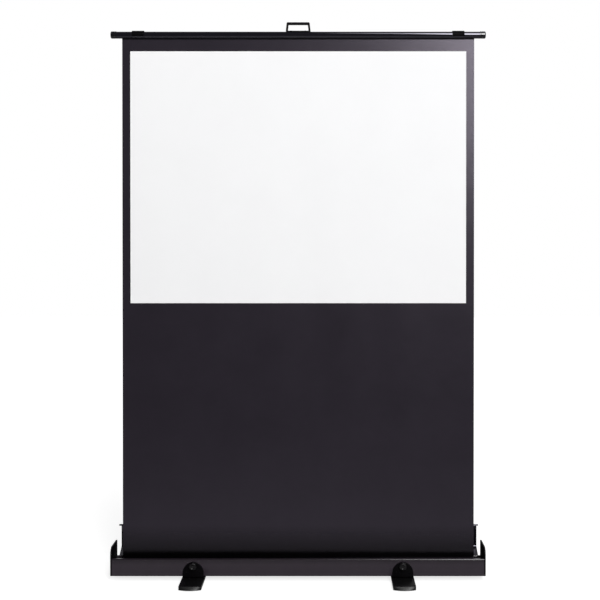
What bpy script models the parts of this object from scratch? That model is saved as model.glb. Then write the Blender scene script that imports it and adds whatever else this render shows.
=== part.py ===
"""Pull-up projection screen that stands on the floor.

A shallow case holds a sprung roller. Two folding knee arms behind the fabric carry a top bar,
which draws the fabric up out of the case. Two feet swivel out under the case, and a lid
hinged along the case's back stands open behind the fabric.

Frame: the origin is on the floor under the middle of the case, +X runs to the viewer's right,
-Y towards the viewer and +Z up. All sizes are in metres and all angles in degrees.
"""

import math

import bmesh
import bpy
from mathutils import Matrix, Vector

# Fits
SEAT_GAP = 0.0003
RUN_GAP = 0.0003
ARC_STEP = 15.0
TURNED_FACETS = 20

# Fabric
VIEW_WIDTH = 1.220
VIEW_HEIGHT = 0.915
SIDE_BORDER = 0.0265
TOP_BORDER = 0.0415
FABRIC_THICKNESS = 0.0004
WHITE_LAYER = 0.0002
ROLL_TURNS = 1.0
ROLL_PITCH = 0.0011
HEM_ROD_RADIUS = 0.0025

# Case
CASE_END_ROOM = 0.031
CASE_DEPTH = 0.115
CASE_FRONT_Y = -0.0575
CASE_WALL = 0.002
CASE_FRONT_HEIGHT = 0.0665
CASE_LIP = 0.008
CASE_LIP_BEND = 0.0034
CASE_FLOOR_BEND = 0.005
HINGE_HEIGHT = 0.0415
HINGE_BEAD_RADIUS = 0.0032
HINGE_SOCKET_WALL = 0.0024
HINGE_RUN_GAP = 0.0004
HINGE_MOUTH_FRONT = 125.0
HINGE_MOUTH_REAR = 0.0
CAP_THICKNESS = 0.0055
CAP_HEIGHT = 0.103
CAP_FRONT_CORNER = 0.013
CAP_REAR_CORNER = 0.004
CAP_LOW_CORNER = 0.006
CAP_EDGE = 0.0015
SPIGOT_DEPTH = 0.010
SPIGOT_WALL = 0.002
SPIGOT_HEIGHT = 0.026

# Lid, standing open
LID_END_GAP = 0.0065
LID_SHEET = 0.002
LID_SKIRT = 0.0546
LID_SKIRT_RISE = 26.0
LID_PANEL = 0.082
LID_FLANGE = 0.0493
LID_FLANGE_RISE = 13.4
LID_LIP = 0.005
LID_BEND = 0.008
LID_LIP_BEND = 0.0025

# Roller
ROLLER_Y = -0.0245
ROLLER_HEIGHT = 0.028
ROLLER_RADIUS = 0.019
ROLLER_WALL = 0.0012
ROLLER_OVERHANG = 0.0085
PLUG_FLANGE = 0.006
PLUG_SPIGOT = 0.020
JOURNAL_RADIUS = 0.004
BRACKET_SHEET = 0.003
BRACKET_WIDTH = 0.036
BRACKET_CROWN = 0.016
BUSH_WALL = 0.0025
BUSH_FLANGE = 0.002
SHAFT_LENGTH = 0.150
SHAFT_RADIUS = 0.0065
SPRING_WIRE = 0.002
SPRING_TURNS = 8
SPRING_PITCH = 0.011
SPRING_POINTS = 8

# Folding arms
PIVOT_INSET = 0.058
BASE_PIVOT_HEIGHT = 0.0275
ARM_WIDTH = 0.022
ARM_THICKNESS = 0.005
PAST_STRAIGHT = 2.0
CHAIN_CLEARANCE = 0.0008
PIN_RADIUS = 0.004
PIN_HEAD_RADIUS = 0.0075
PIN_HEAD = 0.0013
WASHER_RADIUS = 0.009
WASHER = 0.0014
EAR_SHEET = 0.003
EAR_BEND = 0.0035
EAR_WIDTH = 0.026
BASE_WIDTH = 0.060
BASE_FOOT = 0.024
STOP_REACH = 0.028
STOP_RADIUS = 0.003
STOP_LUG = 0.0045

# Top bar
BAR_HEIGHT = 1.966
BAR_OVERHANG = 0.020
BAR_RADIUS = 0.012
BAR_WALL = 0.002
BAR_LIP_DROP = 0.016
BAR_LIP_WALL = 0.0016
BAR_SLOT = 0.0016
BAR_PLUG_RADIUS = 0.0131
BAR_PLUG_LENGTH = 0.021
BAR_PLUG_ROUND = 0.004
BAR_PLUG_SPIGOT = 0.014
CLAMP_LENGTH = 0.043
CLAMP_SHEET = 0.0028
CLAMP_FRONT_ANGLE = 205.0
TOP_PIVOT_DROP = 0.034
JOG_TOP = 0.006
JOG_BOTTOM = 0.019

# Handle
HANDLE_WIDTH = 0.090
HANDLE_TOP_WIDTH = 0.0835
HANDLE_RISE = 0.033
HANDLE_DEPTH = 0.012
HANDLE_SEAT = 0.0027
HANDLE_WRAP = 0.0021
HANDLE_BEND = 0.003
GRIP_HEIGHT = 0.0085
GRIP_DEPTH = 0.016
GRIP_ROUND = 0.0035
GRIP_SOCKET = 0.005

# Feet
FOOT_INSET = 0.261
FOOT_LENGTH = 0.350
FOOT_WIDTH = 0.080
FOOT_TOP = 0.0144
FOOT_TOE = 0.012
FOOT_CORNER = 0.005
TOE_SLOPE = 0.010
FOOT_EDGE = 0.002
PAD_LENGTH = 0.034
PAD_WIDTH = 0.058
PAD_CORNER = 0.008
PAD_THICKNESS = 0.0035
PAD_PROUD = 0.0022
PAD_INSET = 0.022
SWIVEL_RADIUS = 0.006
SWIVEL_HEAD_RADIUS = 0.013
SWIVEL_HEAD = 0.003
SADDLE_SHEET = 0.0035
SADDLE_BEND = 0.003
SADDLE_WIDTH = 0.076
SADDLE_FRONT_RISE = 0.0563
SADDLE_REAR_RISE = 0.0373
SADDLE_SHOULDER = 0.016
KNOB_HEIGHT = 0.0385
KNOB_RADIUS = 0.014
KNOB_LENGTH = 0.0135
KNOB_ROUND = 0.003
KNOB_GRIPS = 8
KNOB_GRIP_DEPTH = 0.0016
STUD_RADIUS = 0.003
STUD_SOCKET = 0.007

# Lengths that follow the viewing area's width
FABRIC_WIDTH = VIEW_WIDTH + 2 * SIDE_BORDER
CASE_LENGTH = FABRIC_WIDTH + 2 * CASE_END_ROOM
LID_LENGTH = CASE_LENGTH - 2 * LID_END_GAP
BAR_LENGTH = FABRIC_WIDTH + 2 * BAR_OVERHANG
PIVOT_X = FABRIC_WIDTH / 2 - PIVOT_INSET
FOOT_X = FABRIC_WIDTH / 2 - FOOT_INSET

# Levels and places worked out from the sizes above
CASE_BOTTOM = FOOT_TOP + SADDLE_SHEET + 2 * SEAT_GAP
CASE_FLOOR = CASE_BOTTOM + CASE_WALL
CASE_REAR_Y = CASE_FRONT_Y + CASE_DEPTH
CASE_FRONT_TOP = CASE_BOTTOM + CASE_FRONT_HEIGHT
CAP_TOP = CASE_BOTTOM + CAP_HEIGHT
HINGE_Y = CASE_REAR_Y - CASE_WALL / 2
HINGE_Z = CASE_BOTTOM + HINGE_HEIGHT
HINGE_SOCKET_INNER = HINGE_BEAD_RADIUS + HINGE_RUN_GAP
HINGE_SOCKET_OUTER = HINGE_SOCKET_INNER + HINGE_SOCKET_WALL
ROLLER_Z = CASE_BOTTOM + ROLLER_HEIGHT
ROLLER_BORE = ROLLER_RADIUS - ROLLER_WALL
ROLL_INNER = ROLLER_RADIUS + SEAT_GAP + FABRIC_THICKNESS / 2
ROLL_OUTER = ROLL_INNER + ROLL_TURNS * ROLL_PITCH
FABRIC_Y = ROLLER_Y + ROLL_OUTER
FABRIC_TOP = BAR_HEIGHT - BAR_LIP_DROP
VIEW_TOP = FABRIC_TOP - TOP_BORDER
VIEW_BOTTOM = VIEW_TOP - VIEW_HEIGHT
ROLLER_HALF = FABRIC_WIDTH / 2 + ROLLER_OVERHANG
BRACKET_X = CASE_LENGTH / 2 - SPIGOT_DEPTH - SEAT_GAP - BRACKET_SHEET / 2
STACK_GAP = WASHER + 2 * RUN_GAP
BASE_PIVOT_Z = CASE_BOTTOM + BASE_PIVOT_HEIGHT
TOP_PIVOT_Z = BAR_HEIGHT - TOP_PIVOT_DROP
ARM_LENGTH = (TOP_PIVOT_Z - BASE_PIVOT_Z) / 2 / math.cos(math.radians(PAST_STRAIGHT))
PIN_BORE = PIN_RADIUS + RUN_GAP
BAR_Y = FABRIC_Y
FOOT_BOTTOM = PAD_PROUD
SADDLE_BOTTOM = FOOT_TOP + SEAT_GAP

# Front faces of the four arms, from the fabric backwards
LEFT_UPPER_Y = BAR_Y + BAR_RADIUS + SEAT_GAP + CLAMP_SHEET + STACK_GAP
LEFT_LOWER_Y = LEFT_UPPER_Y - STACK_GAP - ARM_THICKNESS
RIGHT_UPPER_Y = LEFT_UPPER_Y + ARM_THICKNESS + 2 * (PIN_HEAD + RUN_GAP) + CHAIN_CLEARANCE
RIGHT_LOWER_Y = RIGHT_UPPER_Y + ARM_THICKNESS + STACK_GAP

SIDES = {"left": -1, "right": 1}

# Turns of a flat outline drawn in X and Y
ALONG_X = Matrix(((0, 0, 1), (1, 0, 0), (0, 1, 0))).to_euler()
ALONG_Y = (math.radians(90), 0, 0)
ALONG_Z = (0, 0, 0)


def clear_scene():
    """Remove every object, so the script can run again in the same file."""
    for obj in list(bpy.data.objects):
        bpy.data.objects.remove(obj, do_unlink=True)


def new_collection(name):
    """A collection linked to the scene."""
    collection = bpy.data.collections.new(name)
    bpy.context.scene.collection.children.link(collection)
    return collection


def finish(name, colour, roughness, metallic=0.0):
    """A Principled material of one colour."""
    material = bpy.data.materials.new(name)
    material.use_nodes = True
    shader = material.node_tree.nodes["Principled BSDF"]
    shader.inputs["Base Color"].default_value = (*colour, 1.0)
    shader.inputs["Roughness"].default_value = roughness
    shader.inputs["Metallic"].default_value = metallic
    return material


# Outlines

def arc(centre, radius, start, end):
    """Points on an arc from one angle to another, both ends included."""
    steps = max(2, math.ceil(abs(end - start) / ARC_STEP))
    angles = [math.radians(start + (end - start) * i / steps) for i in range(steps + 1)]
    return [(centre[0] + radius * math.cos(a), centre[1] + radius * math.sin(a)) for a in angles]


def circle(centre, radius):
    """Points round a full circle."""
    turns = [2 * math.pi * i / TURNED_FACETS for i in range(TURNED_FACETS)]
    return [(centre[0] + radius * math.cos(a), centre[1] + radius * math.sin(a)) for a in turns]


def rounded_corner(before, corner, after, radius):
    """Points of an arc that rounds one corner."""
    here = Vector(corner)
    back = (Vector(before) - here).normalized()
    ahead = (Vector(after) - here).normalized()
    half = back.angle(ahead) / 2
    if radius <= 0 or half > math.radians(89.9):
        return [corner]
    start = here + back * (radius / math.tan(half))
    centre = here + (back + ahead).normalized() * (radius / math.sin(half))
    side = 1 if (-back).cross(ahead) > 0 else -1
    turn = math.degrees(math.pi - 2 * half)
    first = math.degrees(math.atan2(start.y - centre.y, start.x - centre.x))
    return arc(centre, radius, first, first + side * turn)


def rounded(corners, is_closed=True):
    """Points of an outline through corners given as (x, y, radius)."""
    points = []
    last = len(corners) - 1
    for i, (x, y, radius) in enumerate(corners):
        if not is_closed and i in (0, last):
            points.append((x, y))
            continue
        before = corners[i - 1][:2]
        after = corners[(i + 1) % len(corners)][:2]
        points += rounded_corner(before, (x, y), after, radius)
    return points


def offset_path(path, distance):
    """The path (x, y, bend radius) moved to its left by a distance, with its bends to suit."""
    moved = []
    for i, (x, y, radius) in enumerate(path):
        here = Vector((x, y))
        before = (here - Vector(path[i - 1][:2])).normalized() if i > 0 else None
        after = (Vector(path[i + 1][:2]) - here).normalized() if i < len(path) - 1 else None
        before = before or after
        after = after or before
        across = Vector((-before.y - after.y, before.x + after.x)).normalized()
        lean = across.dot(Vector((-before.y, before.x)))
        turn = before.cross(after)
        bend = radius - distance if turn > 0 else radius + distance
        point = here + across * (distance / lean)
        moved.append((point.x, point.y, bend if radius > 0 else 0))
    return moved


def strip(path, thickness):
    """Outline of a sheet of even thickness that is bent along a centre path."""
    left = rounded(offset_path(path, thickness / 2), is_closed=False)
    right = rounded(offset_path(path, -thickness / 2), is_closed=False)
    return left + right[::-1]


def arch(width, shoulder, crown, low):
    """Outline of a plate with upright sides up to a shoulder and a half-ellipse above it."""
    steps = round(180 / ARC_STEP)
    top = []
    for i in range(steps + 1):
        angle = math.pi * i / steps
        top.append((width / 2 * math.cos(angle), shoulder + (crown - shoulder) * math.sin(angle)))
    return [(-width / 2, low), (width / 2, low), *top]


# Solids

def place(obj, collection, material, parent=None):
    """Link an object, give it its material and hang it on an empty without moving it."""
    collection.objects.link(obj)
    if material:
        obj.data.materials.append(material)
    if parent:
        obj.parent = parent
        obj.matrix_parent_inverse = Matrix.Translation(parent.location).inverted()
    return obj


def pivot(collection, name, location):
    """An empty on a joint's axis."""
    empty = bpy.data.objects.new(name, None)
    empty.location = location
    empty.empty_display_size = 0.03
    collection.objects.link(empty)
    return empty


def extruded(name, outlines, depth, location, rotation):
    """A solid from flat outlines, the inner ones being holes, with its depth shared both ways."""
    curve = bpy.data.curves.new(name, "CURVE")
    curve.dimensions = "2D"
    curve.fill_mode = "BOTH"
    curve.extrude = depth / 2
    for outline in outlines:
        spline = curve.splines.new("POLY")
        spline.points.add(len(outline) - 1)
        for point, (x, y) in zip(spline.points, outline):
            point.co = (x, y, 0, 1)
        spline.use_cyclic_u = True
    drawn = bpy.data.objects.new(name, curve)
    bpy.context.scene.collection.objects.link(drawn)
    graph = bpy.context.evaluated_depsgraph_get()
    mesh = bpy.data.meshes.new_from_object(drawn.evaluated_get(graph))
    bpy.data.objects.remove(drawn, do_unlink=True)
    bpy.data.curves.remove(curve)
    close_mesh(mesh)
    mesh.name = name
    solid = bpy.data.objects.new(name, mesh)
    solid.location = location
    solid.rotation_euler = rotation
    return solid


def close_mesh(mesh):
    """Weld a mesh's caps to its sides, merge its flat faces and turn them outwards."""
    work = bmesh.new()
    work.from_mesh(mesh)
    bmesh.ops.remove_doubles(work, verts=work.verts, dist=1e-6)
    bmesh.ops.dissolve_limit(work, angle_limit=math.radians(0.1), verts=work.verts, edges=work.edges)
    bmesh.ops.recalc_face_normals(work, faces=work.faces)
    work.to_mesh(mesh)
    work.free()


def turned(name, profile, location, rotation, is_ring=False):
    """A solid of revolution: a profile of (radius, height), down its outer side, about its own Z."""
    mesh = bpy.data.meshes.new(name)
    edges = [(i, i + 1) for i in range(len(profile) - 1)]
    if is_ring:
        edges.append((len(profile) - 1, 0))
    mesh.from_pydata([(r, 0, z) for r, z in profile], edges, [])
    solid = bpy.data.objects.new(name, mesh)
    solid.location = location
    solid.rotation_euler = rotation
    screw = solid.modifiers.new("turn", "SCREW")
    screw.axis = "Z"
    screw.steps = TURNED_FACETS
    screw.render_steps = TURNED_FACETS
    screw.use_merge_vertices = True
    screw.merge_threshold = 1e-6
    screw.use_smooth_shade = True
    return solid


def tube(name, outer, inner, length, location, rotation):
    """A plain round tube centred on its place."""
    half = length / 2
    ring = [(outer, half), (outer, -half), (inner, -half), (inner, half)]
    return turned(name, ring, location, rotation, is_ring=True)


def cut(solid, cutter, cutters, operation="DIFFERENCE"):
    """Cut a solid with another, which is kept aside as a hidden helper."""
    cutter.display_type = "WIRE"
    cutter.hide_render = True
    cutters.objects.link(cutter)
    modifier = solid.modifiers.new(cutter.name, "BOOLEAN")
    modifier.operation = operation
    modifier.object = cutter
    modifier.solver = "EXACT"


def soften(solid, width, segments=2):
    """Round a solid's sharp edges."""
    bevel = solid.modifiers.new("edges", "BEVEL")
    bevel.width = width
    bevel.segments = segments
    bevel.limit_method = "ANGLE"
    bevel.angle_limit = math.radians(40)


def least_gap(points, turn_points, thickness):
    """The least gap, between points at least half a turn apart, of a winding of this thickness."""
    apart = turn_points // 2
    gaps = []
    for i, first in enumerate(points):
        for second in points[i + apart:]:
            gaps.append(math.dist(first, second))
    return min(gaps) - thickness


class Screen:
    """The whole screen: its collections, its finishes and what builds each sub-assembly."""

    def __init__(self):
        self.parts = new_collection("pull_up_projection_screen")
        self.cutters = new_collection("cutters")
        self.gloss_black = finish("gloss_black_coat", (0.030, 0.027, 0.032), 0.25)
        self.satin_black = finish("satin_black_plastic", (0.022, 0.021, 0.023), 0.45)
        self.rubber = finish("black_rubber", (0.018, 0.018, 0.018), 0.85)
        self.steel = finish("zinc_steel", (0.55, 0.56, 0.58), 0.35, 1.0)
        self.aluminium = finish("bare_aluminium", (0.68, 0.68, 0.70), 0.35, 1.0)
        self.white_vinyl = finish("matt_white_vinyl", (0.90, 0.90, 0.90), 0.85)
        self.black_vinyl = finish("black_vinyl", (0.030, 0.027, 0.032), 0.70)
        self.nylon = finish("nylon", (0.75, 0.74, 0.70), 0.5)

    def add(self, solid, material, parent=None):
        """Add a finished solid to the parts."""
        return place(solid, self.parts, material, parent)

    def pin(self, name, front, back, x, z, parent=None):
        """A headed pin along Y whose heads clamp everything between two faces."""
        head = PIN_HEAD
        half = (back - front) / 2 + RUN_GAP + head
        crown = PIN_HEAD_RADIUS - head
        profile = [
            (0, half), (crown, half), (PIN_HEAD_RADIUS, half - head), (PIN_RADIUS, half - head),
            (PIN_RADIUS, head - half), (PIN_HEAD_RADIUS, head - half), (crown, -half), (0, -half),
        ]
        return self.add(turned(name, profile, (x, (front + back) / 2, z), ALONG_Y), self.steel, parent)

    def washer(self, name, front, x, z, parent=None):
        """A plastic washer along Y that fills the gap behind a face."""
        y = front + RUN_GAP + WASHER / 2
        ring = tube(name, WASHER_RADIUS, PIN_BORE, WASHER, (x, y, z), ALONG_Y)
        return self.add(ring, self.nylon, parent)

    # Case

    def build_case(self):
        """The folded channel with its hinge socket, and an end cap at each end."""
        channel = extruded("case_channel", [self.case_section()], CASE_LENGTH, (0, 0, 0), ALONG_X)
        self.add(channel, self.gloss_black)
        pin_bore = SWIVEL_RADIUS + RUN_GAP
        stud_bore = STUD_RADIUS + RUN_GAP
        knob_z = CASE_BOTTOM + KNOB_HEIGHT
        for side, sign in SIDES.items():
            x = sign * FOOT_X
            self.drill(channel, f"swivel_bore_{side}", pin_bore, x, 0, CASE_FLOOR, ALONG_Z)
            self.drill(channel, f"stud_bore_{side}", stud_bore, x, CASE_FRONT_Y, knob_z, ALONG_Y)
            self.build_end_cap(side, sign)

    def drill(self, solid, name, radius, x, y, z, rotation):
        """Bore a round hole through a thin wall near a point."""
        reach = 4 * max(CASE_WALL, SADDLE_SHEET)
        self.cut_round(solid, name, radius, reach, x, y, z, rotation)

    def cut_round(self, solid, name, radius, depth, x, y, z, rotation):
        """Cut a round hole of a given depth, centred on a point."""
        cut(solid, extruded(name, [circle((0, 0), radius)], depth, (x, y, z), rotation), self.cutters)

    def case_section(self):
        """The channel's section in Y and Z: lip, front wall, floor, and rear wall with the socket."""
        half = CASE_WALL / 2
        front = CASE_FRONT_Y + half
        top = CASE_FRONT_TOP - half
        floor = CASE_BOTTOM + half
        meet = math.asin(half / HINGE_SOCKET_OUTER)
        rear_top = HINGE_Z - HINGE_SOCKET_OUTER * math.cos(meet)
        path = [
            (front + CASE_LIP, top, 0), (front, top, CASE_LIP_BEND), (front, floor, CASE_FLOOR_BEND),
            (HINGE_Y, floor, CASE_FLOOR_BEND), (HINGE_Y, rear_top, 0),
        ]
        inside = rounded(offset_path(path, half), is_closed=False)
        outside = rounded(offset_path(path, -half), is_closed=False)
        centre = (HINGE_Y, HINGE_Z)
        lean = math.degrees(meet)
        socket = arc(centre, HINGE_SOCKET_OUTER, 270 - lean, HINGE_MOUTH_FRONT)[1:]
        socket += arc(centre, HINGE_SOCKET_INNER, HINGE_MOUTH_FRONT, 360 + HINGE_MOUTH_REAR)
        socket += arc(centre, HINGE_SOCKET_OUTER, 360 + HINGE_MOUTH_REAR, 270 + lean)[:-1]
        return inside + socket + outside[::-1]

    def build_end_cap(self, side, sign):
        """A moulded end plate with rounded corners and a spigot that plugs into the channel."""
        front = CASE_FRONT_Y
        rear = CASE_REAR_Y
        low = CASE_BOTTOM
        plate = rounded([
            (front, low, CAP_LOW_CORNER), (rear, low, CAP_LOW_CORNER),
            (rear, CAP_TOP, CAP_REAR_CORNER), (front, CAP_TOP, CAP_FRONT_CORNER),
        ])
        x = sign * (CASE_LENGTH / 2 + SEAT_GAP + CAP_THICKNESS / 2)
        cap = extruded(f"end_cap_{side}", [plate], CAP_THICKNESS, (x, 0, 0), ALONG_X)
        soften(cap, CAP_EDGE)
        inset = CASE_WALL + SEAT_GAP + SPIGOT_WALL / 2
        bend = CASE_FLOOR_BEND - SPIGOT_WALL / 2
        high = CASE_BOTTOM + SPIGOT_HEIGHT
        path = [
            (CASE_FRONT_Y + inset, high, 0), (CASE_FRONT_Y + inset, CASE_BOTTOM + inset, bend),
            (CASE_REAR_Y - inset, CASE_BOTTOM + inset, bend), (CASE_REAR_Y - inset, high, 0),
        ]
        depth = SPIGOT_DEPTH + SEAT_GAP + CAP_THICKNESS / 2
        spigot_x = sign * (CASE_LENGTH / 2 - SPIGOT_DEPTH + depth / 2)
        spigot = extruded(f"spigot_{side}", [strip(path, SPIGOT_WALL)], depth, (spigot_x, 0, 0), ALONG_X)
        cut(cap, spigot, self.cutters, "UNION")
        self.add(cap, self.satin_black)

    # Lid

    def build_lid(self):
        """The lid: one extruded sheet whose bead turns in the case's hinge socket."""
        axis = pivot(self.parts, "lid_axis", (0, HINGE_Y, HINGE_Z))
        lid = extruded("lid_shell", [self.lid_section()], LID_LENGTH, (0, 0, 0), ALONG_X)
        self.add(lid, self.gloss_black, axis)

    def lid_section(self):
        """The open lid's section in Y and Z: bead, rear skirt, upright panel, front flange and lip."""
        rise = math.radians(LID_SKIRT_RISE)
        fold = math.radians(180 - LID_FLANGE_RISE)
        low = (HINGE_Y + LID_SKIRT * math.cos(rise), HINGE_Z + LID_SKIRT * math.sin(rise))
        high = (low[0], low[1] + LID_PANEL)
        tip = (high[0] + LID_FLANGE * math.cos(fold), high[1] + LID_FLANGE * math.sin(fold))
        end = (tip[0] - LID_LIP * math.sin(fold), tip[1] + LID_LIP * math.cos(fold))
        path = [
            (HINGE_Y, HINGE_Z, 0), (*low, LID_BEND), (*high, LID_BEND), (*tip, LID_LIP_BEND), (*end, 0),
        ]
        neck = math.degrees(math.asin(LID_SHEET / 2 / HINGE_BEAD_RADIUS))
        around = arc(
            (HINGE_Y, HINGE_Z), HINGE_BEAD_RADIUS,
            LID_SKIRT_RISE - neck, LID_SKIRT_RISE + neck - 360,
        )
        inner = rounded(offset_path(path, LID_SHEET / 2), is_closed=False)[1:]
        outer = rounded(offset_path(path, -LID_SHEET / 2), is_closed=False)[1:]
        return around + inner + outer[::-1]

    # Roller

    def build_roller(self):
        """The sprung roller: tube, end plugs, journals, brackets, fixed shaft and torsion spring."""
        axis = pivot(self.parts, "roller_axis", (0, ROLLER_Y, ROLLER_Z))
        along = (0, math.radians(90), 0)
        centre = (0, ROLLER_Y, ROLLER_Z)
        body = tube("roller_tube", ROLLER_RADIUS, ROLLER_BORE, 2 * ROLLER_HALF, centre, along)
        self.add(body, self.aluminium, axis)
        fit = ROLLER_BORE - SEAT_GAP
        deep = ROLLER_HALF - PLUG_SPIGOT
        face = ROLLER_HALF + SEAT_GAP
        end = face + PLUG_FLANGE
        tip = BRACKET_X + BRACKET_SHEET / 2
        left = [
            (0, -deep), (fit, -deep), (fit, -face), (ROLLER_RADIUS, -face), (ROLLER_RADIUS, -end),
            (JOURNAL_RADIUS, -end), (JOURNAL_RADIUS, -tip), (0, -tip),
        ]
        self.add(turned("roller_plug_left", left, centre, along), self.satin_black, axis)
        bore = JOURNAL_RADIUS + RUN_GAP
        right = [
            (ROLLER_RADIUS, end), (ROLLER_RADIUS, face), (fit, face), (fit, deep), (bore, deep), (bore, end),
        ]
        self.add(turned("roller_plug_right", right, centre, along, is_ring=True), self.satin_black, axis)
        self.build_roller_brackets(along)
        self.build_roller_spring(along, deep, tip)
        self.build_fabric_roll(axis)

    def build_roller_brackets(self, along):
        """A bracket at each end of the roller, with a bush for the turning journal on the left."""
        bush_radius = JOURNAL_RADIUS + RUN_GAP + BUSH_WALL
        bores = {"left": bush_radius + SEAT_GAP, "right": JOURNAL_RADIUS + RUN_GAP}
        for side, sign in SIDES.items():
            low = CASE_FLOOR + SEAT_GAP - ROLLER_Z
            plate = arch(BRACKET_WIDTH, 0, BRACKET_CROWN, low)
            hole = circle((0, 0), bores[side])
            spot = (sign * BRACKET_X, ROLLER_Y, ROLLER_Z)
            bracket = extruded(f"roller_bracket_{side}", [plate, hole], BRACKET_SHEET, spot, ALONG_X)
            self.add(bracket, self.steel)
        inner = JOURNAL_RADIUS + RUN_GAP
        flange = bush_radius + BUSH_FLANGE
        near = BRACKET_X - BRACKET_SHEET / 2 - SEAT_GAP
        far = BRACKET_X + BRACKET_SHEET / 2
        profile = [
            (flange, BUSH_FLANGE - near), (flange, -near), (bush_radius, -near), (bush_radius, -far),
            (inner, -far), (inner, BUSH_FLANGE - near),
        ]
        bush = turned("roller_bush", profile, (0, ROLLER_Y, ROLLER_Z), along, is_ring=True)
        self.add(bush, self.nylon)

    def build_roller_spring(self, along, plug_face, bracket_face):
        """The fixed shaft inside the roller and the torsion spring wound on it."""
        shoulder = plug_face - SEAT_GAP
        inner_end = shoulder - SHAFT_LENGTH
        profile = [
            (0, bracket_face), (JOURNAL_RADIUS, bracket_face), (JOURNAL_RADIUS, shoulder),
            (SHAFT_RADIUS, shoulder), (SHAFT_RADIUS, inner_end), (0, inner_end),
        ]
        self.add(turned("spring_shaft", profile, (0, ROLLER_Y, ROLLER_Z), along), self.steel)
        radius = (SHAFT_RADIUS + SEAT_GAP + SPRING_WIRE / 2) / math.cos(math.pi / SPRING_POINTS)
        start = shoulder - SEAT_GAP - SPRING_WIRE / 2 - SPRING_TURNS * SPRING_PITCH
        points = []
        for i in range(SPRING_TURNS * SPRING_POINTS + 1):
            turn = i / SPRING_POINTS
            angle = 2 * math.pi * turn
            y = radius * math.cos(angle)
            z = radius * math.sin(angle)
            points.append((start + turn * SPRING_PITCH, ROLLER_Y + y, ROLLER_Z + z))
        print(f"roller_spring least gap {least_gap(points, SPRING_POINTS, SPRING_WIRE) * 1000:.2f} mm")
        curve = bpy.data.curves.new("roller_spring", "CURVE")
        curve.dimensions = "3D"
        curve.bevel_depth = SPRING_WIRE / 2
        curve.bevel_resolution = 0
        curve.use_fill_caps = True
        spline = curve.splines.new("POLY")
        spline.points.add(len(points) - 1)
        for point, place_at in zip(spline.points, points):
            point.co = (*place_at, 1)
        self.add(bpy.data.objects.new("roller_spring", curve), self.steel)

    def build_fabric_roll(self, axis):
        """The turns of fabric that stay on the roller: a spiral sheet that ends going up at the back."""
        per_turn = round(360 / ARC_STEP)
        count = round(ROLL_TURNS * per_turn)
        path = []
        for i in range(count + 1):
            share = i / count
            angle = 2 * math.pi * ROLL_TURNS * (share - 1)
            radius = ROLL_INNER + ROLL_TURNS * ROLL_PITCH * share
            path.append((ROLLER_Y + radius * math.cos(angle), ROLLER_Z + radius * math.sin(angle), 0))
        flat = [point[:2] for point in path]
        print(f"fabric_roll least gap {least_gap(flat, per_turn, FABRIC_THICKNESS) * 1000:.2f} mm")
        roll = extruded("fabric_roll", [strip(path, FABRIC_THICKNESS)], FABRIC_WIDTH, (0, 0, 0), ALONG_X)
        self.add(roll, self.black_vinyl, axis)

    # Fabric

    def build_fabric(self):
        """The standing fabric: a black sheet from roller to bar, and the white layer on its front."""
        half = FABRIC_WIDTH / 2
        low = ROLLER_Z + SEAT_GAP
        high = BAR_HEIGHT - BAR_RADIUS + BAR_WALL
        sheet = [(-half, low), (half, low), (half, high), (-half, high)]
        black = extruded("screen_sheet", [sheet], FABRIC_THICKNESS, (0, FABRIC_Y, 0), ALONG_Y)
        self.add(black, self.black_vinyl)
        half = VIEW_WIDTH / 2
        view = [(-half, VIEW_BOTTOM), (half, VIEW_BOTTOM), (half, VIEW_TOP), (-half, VIEW_TOP)]
        y = FABRIC_Y - FABRIC_THICKNESS / 2 - SEAT_GAP - WHITE_LAYER / 2
        white = extruded("viewing_surface", [view], WHITE_LAYER, (0, y, 0), ALONG_Y)
        self.add(white, self.white_vinyl)

    # Folding arms

    def build_arms(self):
        """Two folding knee arms, a degree or two past straight against their stops."""
        fronts = {"left": (LEFT_LOWER_Y, LEFT_UPPER_Y), "right": (RIGHT_LOWER_Y, RIGHT_UPPER_Y)}
        lean = math.radians(PAST_STRAIGHT)
        for side, sign in SIDES.items():
            lower_y, upper_y = fronts[side]
            base = (sign * PIVOT_X, BASE_PIVOT_Z)
            knee = (base[0] + sign * ARM_LENGTH * math.sin(lean), base[1] + ARM_LENGTH * math.cos(lean))
            lower_turn = math.radians(90) - sign * lean
            upper_turn = math.radians(90) + sign * lean
            base_axis = pivot(self.parts, f"base_axis_{side}", (base[0], lower_y, base[1]))
            knee_axis = pivot(self.parts, f"knee_axis_{side}", (knee[0], upper_y, knee[1]))
            self.build_lower_arm(side, sign, lower_y, base, lower_turn, base_axis)
            self.build_upper_arm(side, upper_y, knee, upper_turn, knee_axis)
            self.build_arm_base(side, lower_y, base)
            front = min(lower_y, upper_y)
            back = max(lower_y, upper_y) + ARM_THICKNESS
            self.pin(f"knee_pin_{side}", front, back, *knee, base_axis)
            self.washer(f"knee_washer_{side}", front + ARM_THICKNESS, *knee, base_axis)

    def stop_offset(self):
        """How far inwards of the lower arm's centre line its stop pin stands."""
        shift = STOP_REACH * math.sin(math.radians(2 * PAST_STRAIGHT))
        return ARM_WIDTH / 2 + shift + RUN_GAP + STOP_RADIUS

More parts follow.
